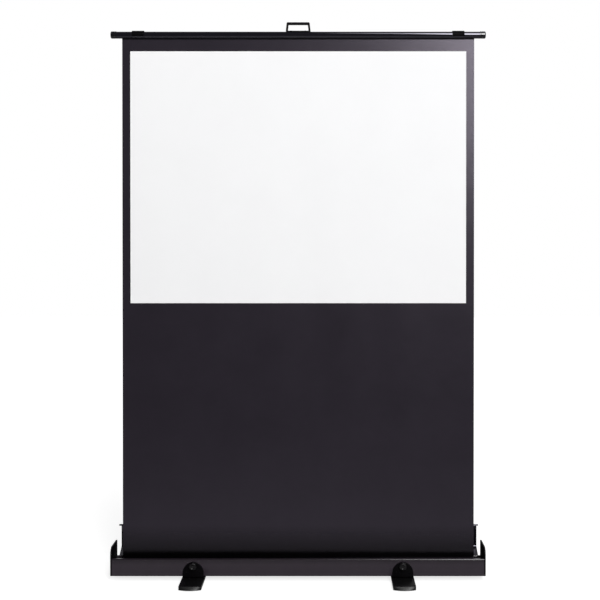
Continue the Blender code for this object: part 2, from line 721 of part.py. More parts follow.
    def build_lower_arm(self, side, sign, front, base, turn, axis):
        """A flat arm from the case to the knee, with a lug past the knee for its stop pin."""
        half = ARM_WIDTH / 2
        end = ARM_LENGTH + STOP_REACH
        stop = self.stop_offset()
        edge = arc((0, 0), half, 90, 270) + rounded([
            (0, -half, 0), (ARM_LENGTH - ARM_WIDTH, -half, ARM_WIDTH),
            (end - STOP_LUG, -stop - STOP_LUG, STOP_LUG), (end + STOP_LUG, -stop - STOP_LUG, STOP_LUG),
            (end + STOP_LUG, STOP_LUG - stop, STOP_LUG),
            (ARM_LENGTH + half, half, half), (0, half, 0),
        ], is_closed=False)[1:-1]
        edge = [(x, -sign * y) for x, y in edge]
        holes = [circle((0, 0), PIN_BORE), circle((ARM_LENGTH, 0), PIN_BORE)]
        y = front + ARM_THICKNESS / 2
        spot = (base[0], y, base[1])
        lie = (ALONG_Y[0], -turn, 0)
        arm = extruded(f"lower_arm_{side}", [edge, *holes], ARM_THICKNESS, spot, lie)
        self.add(arm, self.satin_black, axis)
        self.build_knee_stop(side, sign, front, base, turn, axis)

    def build_knee_stop(self, side, sign, front, base, turn, axis):
        """The stop pin that the upper arm leans on when the screen is up."""
        along = ARM_LENGTH + STOP_REACH
        out = sign * self.stop_offset()
        x = base[0] + along * math.cos(turn) - out * math.sin(turn)
        z = base[1] + along * math.sin(turn) + out * math.cos(turn)
        reach = STACK_GAP + ARM_THICKNESS - RUN_GAP - SEAT_GAP
        if side == "left":
            y = front + ARM_THICKNESS + SEAT_GAP + reach / 2
        else:
            y = front - SEAT_GAP - reach / 2
        stop = turned(f"knee_stop_{side}", [
            (0, reach / 2), (STOP_RADIUS, reach / 2), (STOP_RADIUS, -reach / 2), (0, -reach / 2),
        ], (x, y, z), ALONG_Y)
        self.add(stop, self.steel, axis)

    def build_upper_arm(self, side, front, knee, turn, axis):
        """A flat arm from the knee to the top bar."""
        half = ARM_WIDTH / 2
        edge = arc((0, 0), half, 90, 270) + arc((ARM_LENGTH, 0), half, -90, 90)
        holes = [circle((0, 0), PIN_BORE), circle((ARM_LENGTH, 0), PIN_BORE)]
        y = front + ARM_THICKNESS / 2
        spot = (knee[0], y, knee[1])
        lie = (ALONG_Y[0], -turn, 0)
        arm = extruded(f"upper_arm_{side}", [edge, *holes], ARM_THICKNESS, spot, lie)
        self.add(arm, self.satin_black, axis)

    def build_arm_base(self, side, arm_front, base):
        """A bent bracket on the case floor whose ear carries the lower arm's pin."""
        if side == "left":
            ear = arm_front + ARM_THICKNESS + STACK_GAP + EAR_SHEET / 2
            toe = ear + BASE_FOOT
            pin_front, pin_back = arm_front, ear + EAR_SHEET / 2
            washer_front = arm_front + ARM_THICKNESS
        else:
            ear = arm_front - STACK_GAP - EAR_SHEET / 2
            toe = ear - BASE_FOOT
            pin_front, pin_back = ear - EAR_SHEET / 2, arm_front + ARM_THICKNESS
            washer_front = ear + EAR_SHEET / 2
        low = CASE_FLOOR + SEAT_GAP + EAR_SHEET / 2
        crown = base[1] + EAR_WIDTH / 2
        path = [(ear, crown, 0), (ear, low, EAR_BEND), (toe, low, 0)]
        middle = (base[0], 0, 0)
        bracket = extruded(f"arm_base_{side}", [strip(path, EAR_SHEET)], BASE_WIDTH, middle, ALONG_X)
        shape = [
            (-BASE_WIDTH, 0, 0), (BASE_WIDTH, 0, 0), (BASE_WIDTH, low + 2 * EAR_SHEET, 0),
            (BASE_WIDTH / 2, low + 2 * EAR_SHEET, EAR_SHEET), (EAR_WIDTH / 2, base[1], 0),
        ]
        over = arc((0, base[1]), EAR_WIDTH / 2, 0, 180)[1:-1]
        left_half = [(-x, z) for x, z, _ in shape[:1:-1]]
        outline = rounded(shape, is_closed=False) + over + left_half
        across = 4 * CASE_DEPTH
        trim = extruded(f"arm_base_trim_{side}", [outline], across, middle, ALONG_Y)
        cut(bracket, trim, self.cutters, "INTERSECT")
        through = 4 * EAR_SHEET
        self.cut_round(bracket, f"arm_base_bore_{side}", PIN_BORE, through, base[0], ear, base[1], ALONG_Y)
        self.add(bracket, self.steel)
        self.pin(f"base_pin_{side}", pin_front, pin_back, *base)
        self.washer(f"base_washer_{side}", washer_front, *base)

    # Top bar

    def build_top_bar(self):
        """The top bar with its fabric slot, hem rod, end plugs, arm clamps and carrying handle."""
        axis = pivot(self.parts, "top_axis_left", (-PIVOT_X, LEFT_UPPER_Y, TOP_PIVOT_Z))
        bar = extruded("top_bar", [self.bar_section()], BAR_LENGTH, (0, BAR_Y, BAR_HEIGHT), ALONG_X)
        self.add(bar, self.gloss_black, axis)
        along = (0, math.radians(90), 0)
        rod_z = BAR_HEIGHT - BAR_RADIUS + BAR_WALL + 2 * SEAT_GAP + HEM_ROD_RADIUS
        half = FABRIC_WIDTH / 2
        rod_profile = [(0, half), (HEM_ROD_RADIUS, half), (HEM_ROD_RADIUS, -half), (0, -half)]
        self.add(turned("hem_rod", rod_profile, (0, BAR_Y, rod_z), along), self.steel, axis)
        for side, sign in SIDES.items():
            self.build_bar_plug(side, sign, axis)
            self.build_bar_clamp(side, sign, axis)
        self.build_handle(axis)

    def bar_section(self):
        """The bar's section in Y and Z about its axis: a tube whose lower slot has two lips."""
        inner = BAR_RADIUS - BAR_WALL
        slot = BAR_SLOT / 2
        lip = slot + BAR_LIP_WALL
        outer_lean = math.degrees(math.asin(lip / BAR_RADIUS))
        inner_lean = math.degrees(math.asin(slot / inner))
        outside = arc((0, 0), BAR_RADIUS, 270 + outer_lean, 630 - outer_lean)
        inside = arc((0, 0), inner, 630 - inner_lean, 270 + inner_lean)
        left_lip = [(-lip, -BAR_LIP_DROP), (-slot, -BAR_LIP_DROP)]
        right_lip = [(slot, -BAR_LIP_DROP), (lip, -BAR_LIP_DROP)]
        return outside + left_lip + inside + right_lip

    def build_bar_plug(self, side, sign, axis):
        """A round-nosed plug in the bar's end."""
        face = SEAT_GAP
        end = BAR_PLUG_LENGTH
        fit = BAR_RADIUS - BAR_WALL - SEAT_GAP
        nose = [(0, end)]
        nose += [(BAR_PLUG_RADIUS - BAR_PLUG_ROUND + r, end - BAR_PLUG_ROUND + z) for r, z in arc(
            (0, 0), BAR_PLUG_ROUND, 90, 0)]
        profile = nose + [
            (BAR_PLUG_RADIUS, face), (fit, face), (fit, -BAR_PLUG_SPIGOT), (0, -BAR_PLUG_SPIGOT),
        ]
        spot = (sign * BAR_LENGTH / 2, BAR_Y, BAR_HEIGHT)
        plug = turned(f"bar_plug_{side}", profile, spot, (0, math.radians(sign * 90), 0))
        self.add(plug, self.satin_black, axis)

    def build_bar_clamp(self, side, sign, axis):
        """A saddle over the bar whose tail runs down behind it to an ear for the upper arm's pin."""
        upper_y = LEFT_UPPER_Y if side == "left" else RIGHT_UPPER_Y
        ear = upper_y - STACK_GAP - CLAMP_SHEET / 2
        wrap = BAR_RADIUS + SEAT_GAP + CLAMP_SHEET / 2
        over = [(y, z, 0) for y, z in arc((BAR_Y, BAR_HEIGHT), wrap, CLAMP_FRONT_ANGLE, 0)]
        low = TOP_PIVOT_Z - EAR_WIDTH / 2
        path = over + [
            (BAR_Y + wrap, BAR_HEIGHT - JOG_TOP, EAR_BEND), (ear, BAR_HEIGHT - JOG_BOTTOM, EAR_BEND),
            (ear, low, 0),
        ]
        x = sign * PIVOT_X
        clamp = extruded(f"bar_clamp_{side}", [strip(path, CLAMP_SHEET)], CLAMP_LENGTH, (x, 0, 0), ALONG_X)
        high = BAR_HEIGHT + 2 * BAR_RADIUS
        shoulder = BAR_HEIGHT - JOG_BOTTOM
        outline = arc((0, TOP_PIVOT_Z), EAR_WIDTH / 2, 180, 360)
        outline += [(EAR_WIDTH / 2, shoulder), (CLAMP_LENGTH, BAR_HEIGHT - JOG_TOP), (CLAMP_LENGTH, high)]
        outline += [(-CLAMP_LENGTH, high), (-CLAMP_LENGTH, BAR_HEIGHT - JOG_TOP), (-EAR_WIDTH / 2, shoulder)]
        trim = extruded(f"bar_clamp_trim_{side}", [outline], 4 * CASE_DEPTH, (x, 0, 0), ALONG_Y)
        cut(clamp, trim, self.cutters, "INTERSECT")
        through = 4 * CLAMP_SHEET
        self.cut_round(clamp, f"bar_clamp_bore_{side}", PIN_BORE, through, x, ear, TOP_PIVOT_Z, ALONG_Y)
        self.add(clamp, self.satin_black, axis)
        self.pin(f"top_pin_{side}", ear - CLAMP_SHEET / 2, upper_y + ARM_THICKNESS, x, TOP_PIVOT_Z, axis)
        self.washer(f"top_washer_{side}", upper_y - STACK_GAP, x, TOP_PIVOT_Z, axis)

    def build_handle(self, axis):
        """A carrying handle: a bent strap seated on the bar and a thicker grip across its top."""
        crown = BAR_HEIGHT + BAR_RADIUS
        seat = crown + HANDLE_SEAT - (HANDLE_SEAT + HANDLE_WRAP) / 2
        strap = HANDLE_SEAT + HANDLE_WRAP
        foot = HANDLE_WIDTH / 2 - strap / 2
        top = HANDLE_TOP_WIDTH / 2 - strap / 2
        grip_low = crown + HANDLE_RISE - GRIP_HEIGHT
        leg_end = grip_low + GRIP_SOCKET - SEAT_GAP
        path = [
            (-top, leg_end, 0), (-foot, seat, HANDLE_BEND), (foot, seat, HANDLE_BEND), (top, leg_end, 0),
        ]
        frame = extruded("handle_frame", [strip(path, strap)], HANDLE_DEPTH, (0, BAR_Y, 0), ALONG_Y)
        bed_radius = BAR_RADIUS + SEAT_GAP
        bed_spot = (0, BAR_Y, BAR_HEIGHT)
        bed = extruded("handle_bed", [circle((0, 0), bed_radius)], 2 * HANDLE_WIDTH, bed_spot, ALONG_X)
        cut(frame, bed, self.cutters)
        self.add(frame, self.satin_black, axis)
        half = HANDLE_TOP_WIDTH / 2
        low, high = grip_low, crown + HANDLE_RISE
        corner = GRIP_HEIGHT / 2
        edge = rounded([
            (-half, low, corner / 2), (half, low, corner / 2), (half, high, corner), (-half, high, corner),
        ])
        grip = extruded("handle_grip", [edge], GRIP_DEPTH, (0, BAR_Y, 0), ALONG_Y)
        soften(grip, GRIP_ROUND)
        socket_depth = HANDLE_DEPTH + 2 * SEAT_GAP
        legs = strip(path, strap + 2 * SEAT_GAP)
        sockets = extruded("grip_sockets", [legs], socket_depth, (0, BAR_Y, SEAT_GAP), ALONG_Y)
        cut(grip, sockets, self.cutters)
        self.add(grip, self.satin_black, axis)

    # Feet

    def build_feet(self):
        """A saddle, a swivelling foot with two pads, a swivel pin and a clamping knob on each side."""
        for side, sign in SIDES.items():
            x = sign * FOOT_X
            swivel = pivot(self.parts, f"swivel_axis_{side}", (x, 0, FOOT_TOP))
            self.build_saddle(side, x)
            self.build_foot(side, x, swivel)
            self.build_swivel(side, x)
            self.build_knob(side, x)

    def build_saddle(self, side, x):
        """A bent bracket under the case with a domed plate up its front and a low one up its back."""
        half = SADDLE_SHEET / 2
        low = SADDLE_BOTTOM + half
        front = CASE_FRONT_Y - SEAT_GAP - half
        rear = CASE_REAR_Y + SEAT_GAP + half
        crown = SADDLE_BOTTOM + SADDLE_FRONT_RISE
        path = [
            (front, crown, 0), (front, low, SADDLE_BEND), (rear, low, SADDLE_BEND),
            (rear, SADDLE_BOTTOM + SADDLE_REAR_RISE, 0),
        ]
        bent = strip(path, SADDLE_SHEET)
        saddle = extruded(f"foot_saddle_{side}", [bent], SADDLE_WIDTH, (x, 0, 0), ALONG_X)
        dome = arch(SADDLE_WIDTH - SEAT_GAP, SADDLE_BOTTOM + SADDLE_SHOULDER, crown, 0)
        across = 4 * CASE_DEPTH
        trim = extruded(f"saddle_dome_{side}", [dome], across, (x, 0, 0), ALONG_Y)
        cut(saddle, trim, self.cutters, "INTERSECT")
        pin_bore = SWIVEL_RADIUS + RUN_GAP
        stud_bore = STUD_RADIUS + RUN_GAP
        knob_z = CASE_BOTTOM + KNOB_HEIGHT
        self.drill(saddle, f"saddle_swivel_bore_{side}", pin_bore, x, 0, low, ALONG_Z)
        self.drill(saddle, f"saddle_stud_bore_{side}", stud_bore, x, front, knob_z, ALONG_Y)
        self.add(saddle, self.satin_black)

    def foot_outline(self):
        """A long plate with a shallow arc at each end, drawn about its middle."""
        half = FOOT_WIDTH / 2
        radius = (half ** 2 + FOOT_TOE ** 2) / (2 * FOOT_TOE)
        sweep = math.degrees(math.asin(half / radius))
        centre = FOOT_LENGTH / 2 - radius
        toe = arc((0, centre), radius, 90 - sweep, 90 + sweep)
        corners = [(x, y, 0) for x, y in toe] + [(-x, -y, 0) for x, y in toe]
        last = len(toe) - 1
        for i in (0, last, last + 1, 2 * last + 1):
            corners[i] = (*corners[i][:2], FOOT_CORNER)
        return rounded(corners)

    def slope_toes(self, mesh):
        """Draw the top of both toes back to a straight edge, so that their end faces slope."""
        straight = FOOT_LENGTH / 2 - TOE_SLOPE
        for vertex in mesh.vertices:
            if vertex.co.z > 0 and abs(vertex.co.y) > straight:
                vertex.co.y = math.copysign(straight, vertex.co.y)

    def build_foot(self, side, x, swivel):
        """A swivelling foot, recessed underneath for its pads and its pin's head."""
        thickness = FOOT_TOP - FOOT_BOTTOM
        hole = circle((0, 0), SWIVEL_RADIUS + RUN_GAP)
        middle = (FOOT_TOP + FOOT_BOTTOM) / 2
        foot = extruded(f"foot_{side}", [self.foot_outline(), hole], thickness, (x, 0, middle), ALONG_Z)
        self.slope_toes(foot.data)
        soften(foot, FOOT_EDGE)
        head_bore = SWIVEL_HEAD_RADIUS + RUN_GAP
        head_depth = 2 * (SWIVEL_HEAD + 2 * SEAT_GAP)
        self.cut_round(foot, f"head_recess_{side}", head_bore, head_depth, x, 0, FOOT_BOTTOM, ALONG_Z)
        self.add(foot, self.satin_black, swivel)
        recess = PAD_THICKNESS - PAD_PROUD + SEAT_GAP
        for end, way in (("front", -1), ("rear", 1)):
            y = way * (FOOT_LENGTH / 2 - PAD_INSET - PAD_LENGTH / 2)
            bed = (x, y, FOOT_BOTTOM)
            edge = self.pad_outline(SEAT_GAP)
            pocket = extruded(f"pad_pocket_{side}_{end}", [edge], 2 * recess, bed, ALONG_Z)
            cut(foot, pocket, self.cutters)
            spot = (x, y, PAD_THICKNESS / 2)
            pad = extruded(f"foot_pad_{side}_{end}", [self.pad_outline(0)], PAD_THICKNESS, spot, ALONG_Z)
            self.add(pad, self.rubber, swivel)

    def pad_outline(self, grow):
        """A pad's rounded rectangle, grown by a margin."""
        wide = PAD_WIDTH / 2 + grow
        long = PAD_LENGTH / 2 + grow
        corner = PAD_CORNER + grow
        return rounded([
            (-wide, -long, corner), (wide, -long, corner), (wide, long, corner), (-wide, long, corner),
        ])

    def build_swivel(self, side, x):
        """The pin that holds the foot and the saddle to the case floor."""
        low = FOOT_BOTTOM + SEAT_GAP
        head = low + SWIVEL_HEAD
        floor = CASE_FLOOR + SEAT_GAP
        high = floor + SWIVEL_HEAD
        profile = [
            (0, high), (SWIVEL_HEAD_RADIUS, high), (SWIVEL_HEAD_RADIUS, floor), (SWIVEL_RADIUS, floor),
            (SWIVEL_RADIUS, head), (SWIVEL_HEAD_RADIUS, head), (SWIVEL_HEAD_RADIUS, low), (0, low),
        ]
        self.add(turned(f"swivel_pin_{side}", profile, (x, 0, 0), ALONG_Z), self.steel)

    def build_knob(self, side, x):
        """A round scalloped knob on the saddle's front plate, with its steel stud."""
        back = CASE_FRONT_Y - 2 * SEAT_GAP - SADDLE_SHEET
        z = CASE_BOTTOM + KNOB_HEIGHT
        axis = pivot(self.parts, f"knob_axis_{side}", (x, back, z))
        outline = []
        count = 4 * KNOB_GRIPS
        for i in range(count):
            angle = 2 * math.pi * i / count
            radius = KNOB_RADIUS - KNOB_GRIP_DEPTH * (1 - math.cos(KNOB_GRIPS * angle)) / 2
            outline.append((radius * math.cos(angle), radius * math.sin(angle)))
        middle = (x, back - KNOB_LENGTH / 2, z)
        knob = extruded(f"foot_knob_{side}", [outline], KNOB_LENGTH, middle, ALONG_Y)
        soften(knob, KNOB_ROUND, 1)
        bore = STUD_RADIUS + SEAT_GAP
        socket = 2 * (STUD_SOCKET + SEAT_GAP)
        self.cut_round(knob, f"knob_bore_{side}", bore, socket, x, back, z, ALONG_Y)
        self.add(knob, self.satin_black, axis)
        front = back - STUD_SOCKET
        end = CASE_FRONT_Y + CASE_WALL
        half = (end - front) / 2
        stud = turned(f"knob_stud_{side}", [
            (0, half), (STUD_RADIUS, half), (STUD_RADIUS, -half), (0, -half),
        ], (x, (front + end) / 2, z), ALONG_Y)
        self.add(stud, self.steel, axis)


def main():
    """Build every sub-assembly in order."""
    clear_scene()
    screen = Screen()
    screen.build_case()
    screen.build_lid()
    screen.build_roller()
    screen.build_fabric()
    screen.build_arms()
    screen.build_top_bar()
    screen.build_feet()
    for solid in screen.parts.objects:
        if solid.type == "MESH":
            solid.data.shade_smooth()
            solid.data.set_sharp_from_angle(angle=math.radians(40))


main()
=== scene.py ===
"""Looks of the pull-up projection screen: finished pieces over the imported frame, and a studio.

The frame's origin is on the floor under the middle of the case. +X runs to the viewer's right,
-Y towards the viewer and +Z up, in metres. Every piece keeps the place and the size of the solid
that it stands for.
"""

import logging
import math
from contextlib import contextmanager
from dataclasses import dataclass
from enum import Enum
from typing import Callable, Iterable, Iterator, Sequence

import bmesh
import bpy
from mathutils import Matrix, Vector


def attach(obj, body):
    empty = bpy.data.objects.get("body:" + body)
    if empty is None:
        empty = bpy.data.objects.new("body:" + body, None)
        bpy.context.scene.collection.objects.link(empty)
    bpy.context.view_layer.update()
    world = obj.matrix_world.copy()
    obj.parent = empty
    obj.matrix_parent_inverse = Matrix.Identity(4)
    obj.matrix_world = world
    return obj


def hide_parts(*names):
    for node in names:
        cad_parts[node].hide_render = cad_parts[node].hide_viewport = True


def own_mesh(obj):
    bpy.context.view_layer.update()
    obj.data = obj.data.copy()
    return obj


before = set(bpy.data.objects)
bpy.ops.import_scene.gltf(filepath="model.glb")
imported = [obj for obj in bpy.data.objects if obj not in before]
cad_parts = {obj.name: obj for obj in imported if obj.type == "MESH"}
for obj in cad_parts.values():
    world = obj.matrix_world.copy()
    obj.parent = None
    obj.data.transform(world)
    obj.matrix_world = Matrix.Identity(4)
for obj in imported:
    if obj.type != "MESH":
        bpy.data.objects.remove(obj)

log = logging.getLogger("projection_screen")

Point = tuple[float, float]
Corner = tuple[float, float, float]
Place = tuple[float, float, float]
Colour = tuple[float, float, float]
Socket = bpy.types.NodeSocket
Feeds = dict[str | int, object]
Spot = tuple[Sequence[float], Sequence[float]]

# Sizes that several sub-assemblies share, in metres.
SEAT = 0.0003
FABRIC_WIDTH = 1.273
CASE_LENGTH = FABRIC_WIDTH + 0.062
CASE_BOTTOM = 0.0185
CASE_WALL = 0.002
CASE_FRONT_Y = -0.0575
CASE_REAR_Y = 0.0575
BAR_Y = -0.0039
BAR_Z = 1.966
PIVOT_X = FABRIC_WIDTH / 2 - 0.058
PIVOT_BORE = 0.0043
ARM_SHEET = 0.005
ARM_GAP = 0.002
LUG_RADIUS = 0.013
FOOT_X = FABRIC_WIDTH / 2 - 0.261
SWIVEL_BORE = 0.0063
STUD_BORE = 0.0033
STUD_FACETS = 24
KNOB_Z = 0.057
SHEET_LOW_Z = 0.0468

# The fabric's fixed point and the share of its height left, for drawing it down as the arms fold;
# the script pairs them with the sheets but doesn't use them.
FOLD_KEEP = 0.0383
WHITE_KEEP = 0.008

# How finely curves are cut, how near vertices merge, and from how many degrees edges stay sharp.
ARC_STEP = 5.0
FACETS = 56
PIN_FACETS = 40
BORE_FACETS = 32
MERGE = 1e-6
BORE_DEPTH = 0.014
TRIM_DEPTH = 0.46
SHARP = 32.0
CUT_SHARP = 40.0
SOFT_SHARP = 50.0

# The range in which most of a noise lies, and the two ends of a mask.
MIDDLE = (0.3, 0.7)
MASK = (0.0, 1.0)
WHITE = (1.0, 1.0, 1.0)
BLACK = (0.0, 0.0, 0.0)


class Side(Enum):
    """The two sides of the screen, as the viewer sees them."""

    LEFT = "left"
    RIGHT = "right"

    @property
    def sign(self) -> int:
        """-1 on the left and 1 on the right."""
        return -1 if self is Side.LEFT else 1


class Cut(Enum):
    """What a tool does to a piece."""

    AWAY = "DIFFERENCE"
    JOIN = "UNION"
    KEEP_INSIDE = "INTERSECT"


class Axis(Enum):
    """The way that an outline is extruded or a profile is turned about, as the rotation from +Z."""

    RIGHT = Matrix(((0, 0, 1), (1, 0, 0), (0, 1, 0)))
    LEFT = Matrix(((0, 0, -1), (-1, 0, 0), (0, 1, 0)))
    FRONT = Matrix(((1, 0, 0), (0, 0, -1), (0, 1, 0)))
    UP = Matrix(((1, 0, 0), (0, 1, 0), (0, 0, 1)))


# Where the front faces of each side's lower and upper arm stand in Y.
ARM_FRONTS: dict[Side, Point] = {Side.LEFT: (0.0062, 0.0132), Side.RIGHT: (0.0292, 0.0222)}


# Outlines

def ellipse(centre: Point, radii: Point, start: float, end: float, steps: int) -> list[Point]:
    """Points on a part of an ellipse, both ends included.

    Args:
        centre: The ellipse's centre.
        radii: Its radii across and up.
        start: The first angle, in degrees.
        end: The last angle, in degrees.
        steps: How many steps lead from the first to the last.

    Returns:
        The points in order.
    """
    turns = [math.radians(start + (end - start) * i / steps) for i in range(steps + 1)]
    return [(centre[0] + radii[0] * math.cos(a), centre[1] + radii[1] * math.sin(a)) for a in turns]


def arc(centre: Point, radius: float, start: float, end: float) -> list[Point]:
    """Points on an arc between two angles in degrees, both ends included."""
    steps = max(3, math.ceil(abs(end - start) / ARC_STEP))
    return ellipse(centre, (radius, radius), start, end, steps)


def circle(centre: Point, radius: float, count: int = FACETS) -> list[Point]:
    """Points round a full circle."""
    turns = [2 * math.pi * i / count for i in range(count)]
    return [(centre[0] + radius * math.cos(a), centre[1] + radius * math.sin(a)) for a in turns]


def rounded(corners: Sequence[Corner], closed: bool = True) -> list[Point]:
    """An outline through corners, each rounded by its own radius.

    Args:
        corners: The corners as (u, v, radius).
        closed: Whether the last corner leads back to the first.

    Returns:
        The outline's points.
    """
    points: list[Point] = []
    straight = math.radians(89.9)
    for i, (u, v, radius) in enumerate(corners):
        here = Vector((u, v))
        if not closed and i in (0, len(corners) - 1):
            points.append((u, v))
            continue
        back = (Vector(corners[i - 1][:2]) - here).normalized()
        ahead = (Vector(corners[(i + 1) % len(corners)][:2]) - here).normalized()
        half = back.angle(ahead) / 2
        if radius <= 0 or half > straight:
            points.append((u, v))
            continue
        start = here + back * (radius / math.tan(half))
        centre = here + (back + ahead).normalized() * (radius / math.sin(half))
        turn = math.degrees(math.pi - 2 * half) * (1 if (-back).cross(ahead) > 0 else -1)
        first = math.degrees(math.atan2(start.y - centre.y, start.x - centre.x))
        points += arc((centre.x, centre.y), radius, first, first + turn)
    return points


def offset_path(path: Sequence[Corner], distance: float) -> list[Corner]:
    """A path moved to its left, with its bend radii to suit.

    Args:
        path: The path's corners as (u, v, radius).
        distance: How far it moves.

    Returns:
        The moved corners.
    """
    moved: list[Corner] = []
    for i, (u, v, radius) in enumerate(path):
        here = Vector((u, v))
        before = (here - Vector(path[i - 1][:2])).normalized() if i > 0 else None
        after = (Vector(path[i + 1][:2]) - here).normalized() if i < len(path) - 1 else None
        before = before or after
        after = after or before
        across = Vector((-before.y - after.y, before.x + after.x)).normalized()
        lean = across.dot(Vector((-before.y, before.x)))
        bend = radius - distance if before.cross(after) > 0 else radius + distance
        spot = here + across * (distance / lean)
        moved.append((spot.x, spot.y, bend if radius > 0 else 0))
    return moved


def edges_of(path: Sequence[Corner], thickness: float) -> tuple[list[Point], list[Point]]:
    """The left and the right edge of a sheet bent along a centre path."""
    left, right = (offset_path(path, way * thickness / 2) for way in (1, -1))
    return rounded(left, closed=False), rounded(right, closed=False)


def strip(path: Sequence[Corner], thickness: float) -> list[Point]:
    """Outline of a sheet of even thickness bent along a centre path."""
    left, right = edges_of(path, thickness)
    return left + right[::-1]


def rod_profile(radius: float, half: float, edge: float = 0.0004) -> list[Point]:
    """The profile of a solid rod with chamfered ends, from its half length."""
    end = [(0, half), (radius - edge, half), (radius, half - edge)]
    return end + [(r, -h) for r, h in end[::-1]]


def tube_profile(outer: float, inner: float, half: float, edge: float) -> list[Point]:
    """The closed profile of a tube with chamfered outer edges, from its half length."""
    return [(outer, half - edge), (outer, edge - half), (outer - edge, -half),
            (inner, -half), (inner, half), (outer - edge, half)]


# Meshes

def add_object(name: str, data: bpy.types.ID) -> bpy.types.Object:
    """Put new data into the scene.

    Args:
        name: The object's name.
        data: Its mesh, curve, light or camera.

    Returns:
        The linked object.
    """
    piece = bpy.data.objects.new(name, data)
    bpy.context.scene.collection.objects.link(piece)
    return piece


def evaluated(piece: bpy.types.Object) -> bpy.types.Mesh:
    """A new mesh of what a piece shows, named after it.

    Args:
        piece: A curve, or a mesh with modifiers.

    Returns:
        The plain mesh.
    """
    bpy.context.view_layer.update()
    graph = bpy.context.evaluated_depsgraph_get()
    return bpy.data.meshes.new_from_object(piece.evaluated_get(graph))


@contextmanager
def opened(mesh: bpy.types.Mesh) -> Iterator[bmesh.types.BMesh]:
    """Open a mesh for edits, and write them back at the end.

    Args:
        mesh: The mesh to edit.

    Yields:
        Its editable form.
    """
    work = bmesh.new()
    work.from_mesh(mesh)
    yield work
    work.to_mesh(mesh)
    work.free()


def tidy(mesh: bpy.types.Mesh, sharp: float = SHARP) -> None:
    """Merge doubles, turn the faces outwards and shade smoothly between sharp edges.

    Args:
        mesh: The mesh to tidy.
        sharp: Edges that turn by more than this many degrees stay sharp.
    """
    with opened(mesh) as work:
        bmesh.ops.remove_doubles(work, verts=work.verts, dist=MERGE)
        bmesh.ops.recalc_face_normals(work, faces=work.faces)
    mesh.shade_smooth()
    mesh.set_sharp_from_angle(angle=math.radians(sharp))


def extruded(
    name: str, outlines: Sequence[Sequence[Point]], depth: float, at: Sequence[float], axis: Axis,
) -> bpy.types.Object:
    """A solid from flat outlines, of which the inner ones are holes.

    Args:
        name: The piece's name.
        outlines: The outer outline and its holes.
        depth: The extrusion's whole depth, shared both ways.
        at: Where the outline's origin lies.
        axis: The way that it is extruded.

    Returns:
        The new object, with its place in its mesh.
    """
    curve = bpy.data.curves.new(name, "CURVE")
    curve.dimensions = "2D"
    curve.fill_mode = "BOTH"
    curve.extrude = depth / 2
    for outline in outlines:
        spline = curve.splines.new("POLY")
        spline.points.add(len(outline) - 1)
        for point, (u, v) in zip(spline.points, outline):
            point.co = (u, v, 0, 1)
        spline.use_cyclic_u = True
    drawn = add_object(name, curve)
    mesh = evaluated(drawn)
    bpy.data.objects.remove(drawn, do_unlink=True)
    bpy.data.curves.remove(curve)
    mesh.name = name
    mesh.transform(Matrix.Translation(at) @ axis.value.to_4x4())
    flat = math.radians(0.1)
    with opened(mesh) as work:
        bmesh.ops.remove_doubles(work, verts=work.verts, dist=MERGE)
        bmesh.ops.dissolve_limit(work, angle_limit=flat, verts=work.verts, edges=work.edges)
    tidy(mesh)
    return add_object(name, mesh)


def turned(
    name: str, profile: Sequence[Point], at: Sequence[float], axis: Axis, ring: bool = False,
    radius_at: Callable[[float, float], float] | None = None, facets: int = FACETS,
) -> bpy.types.Object:
    """A solid of revolution.

    Args:
        name: The piece's name.
        profile: Its (radius, height) points; a solid one starts and ends at radius 0.
        at: The place of height 0 on the axis.
        axis: The axis that height runs along.
        ring: Whether the profile closes on itself.
        radius_at: What changes a radius by its angle, for flutes.
        facets: How many facets go round.

    Returns:
        The new object, with its place in its mesh.
    """
    mesh = bpy.data.meshes.new(name)
    with opened(mesh) as work:
        rings = []
        for radius, height in profile:
            if radius < MERGE / 10:
                rings.append([work.verts.new((0, 0, height))] * facets)
                continue
            row = []
            for i in range(facets):
                angle = 2 * math.pi * i / facets
                reach = radius_at(radius, angle) if radius_at else radius
                spot = (reach * math.cos(angle), reach * math.sin(angle), height)
                row.append(work.verts.new(spot))
            rings.append(row)
        pairs = list(zip(rings, rings[1:]))
        if ring:
            pairs.append((rings[-1], rings[0]))
        for first, second in pairs:
            for i in range(facets):
                j = (i + 1) % facets
                face = list(dict.fromkeys([first[i], first[j], second[j], second[i]]))
                if len(face) > 2:
                    work.faces.new(face)
    mesh.transform(Matrix.Translation(at) @ axis.value.to_4x4())
    tidy(mesh)
    return add_object(name, mesh)


def settle(piece: bpy.types.Object) -> None:
    """Turn a piece's modifiers into its plain mesh.

    Args:
        piece: The piece to settle.
    """
    mesh = evaluated(piece)
    piece.modifiers.clear()
    old = piece.data
    piece.data = mesh
    mesh.name = piece.name
    bpy.data.meshes.remove(old)


def cut(piece: bpy.types.Object, tool: bpy.types.Object, way: Cut = Cut.AWAY) -> None:
    """Cut a piece with a tool piece, or join them, and throw the tool away.

    Args:
        piece: The piece that stays.
        tool: The piece that is used up.
        way: What the tool does.
    """
    step = piece.modifiers.new("cut", "BOOLEAN")
    step.operation = way.value
    step.object = tool
    step.solver = "EXACT"
    settle(piece)
    bpy.data.objects.remove(tool, do_unlink=True)


def bore(
    piece: bpy.types.Object, radius: float, depth: float, at: Sequence[float], axis: Axis,
    facets: int = BORE_FACETS,
) -> None:
    """Bore a round hole into a piece, with its middle at a place."""
    cut(piece, extruded("bore", [circle((0, 0), radius, facets)], depth, at, axis))


def trim(piece: bpy.types.Object, outline: Sequence[Point], x: float) -> None:
    """Leave only what lies inside an outline, as seen from the front."""
    cut(piece, extruded("trim", [outline], TRIM_DEPTH, (x, 0, 0), Axis.FRONT), Cut.KEEP_INSIDE)


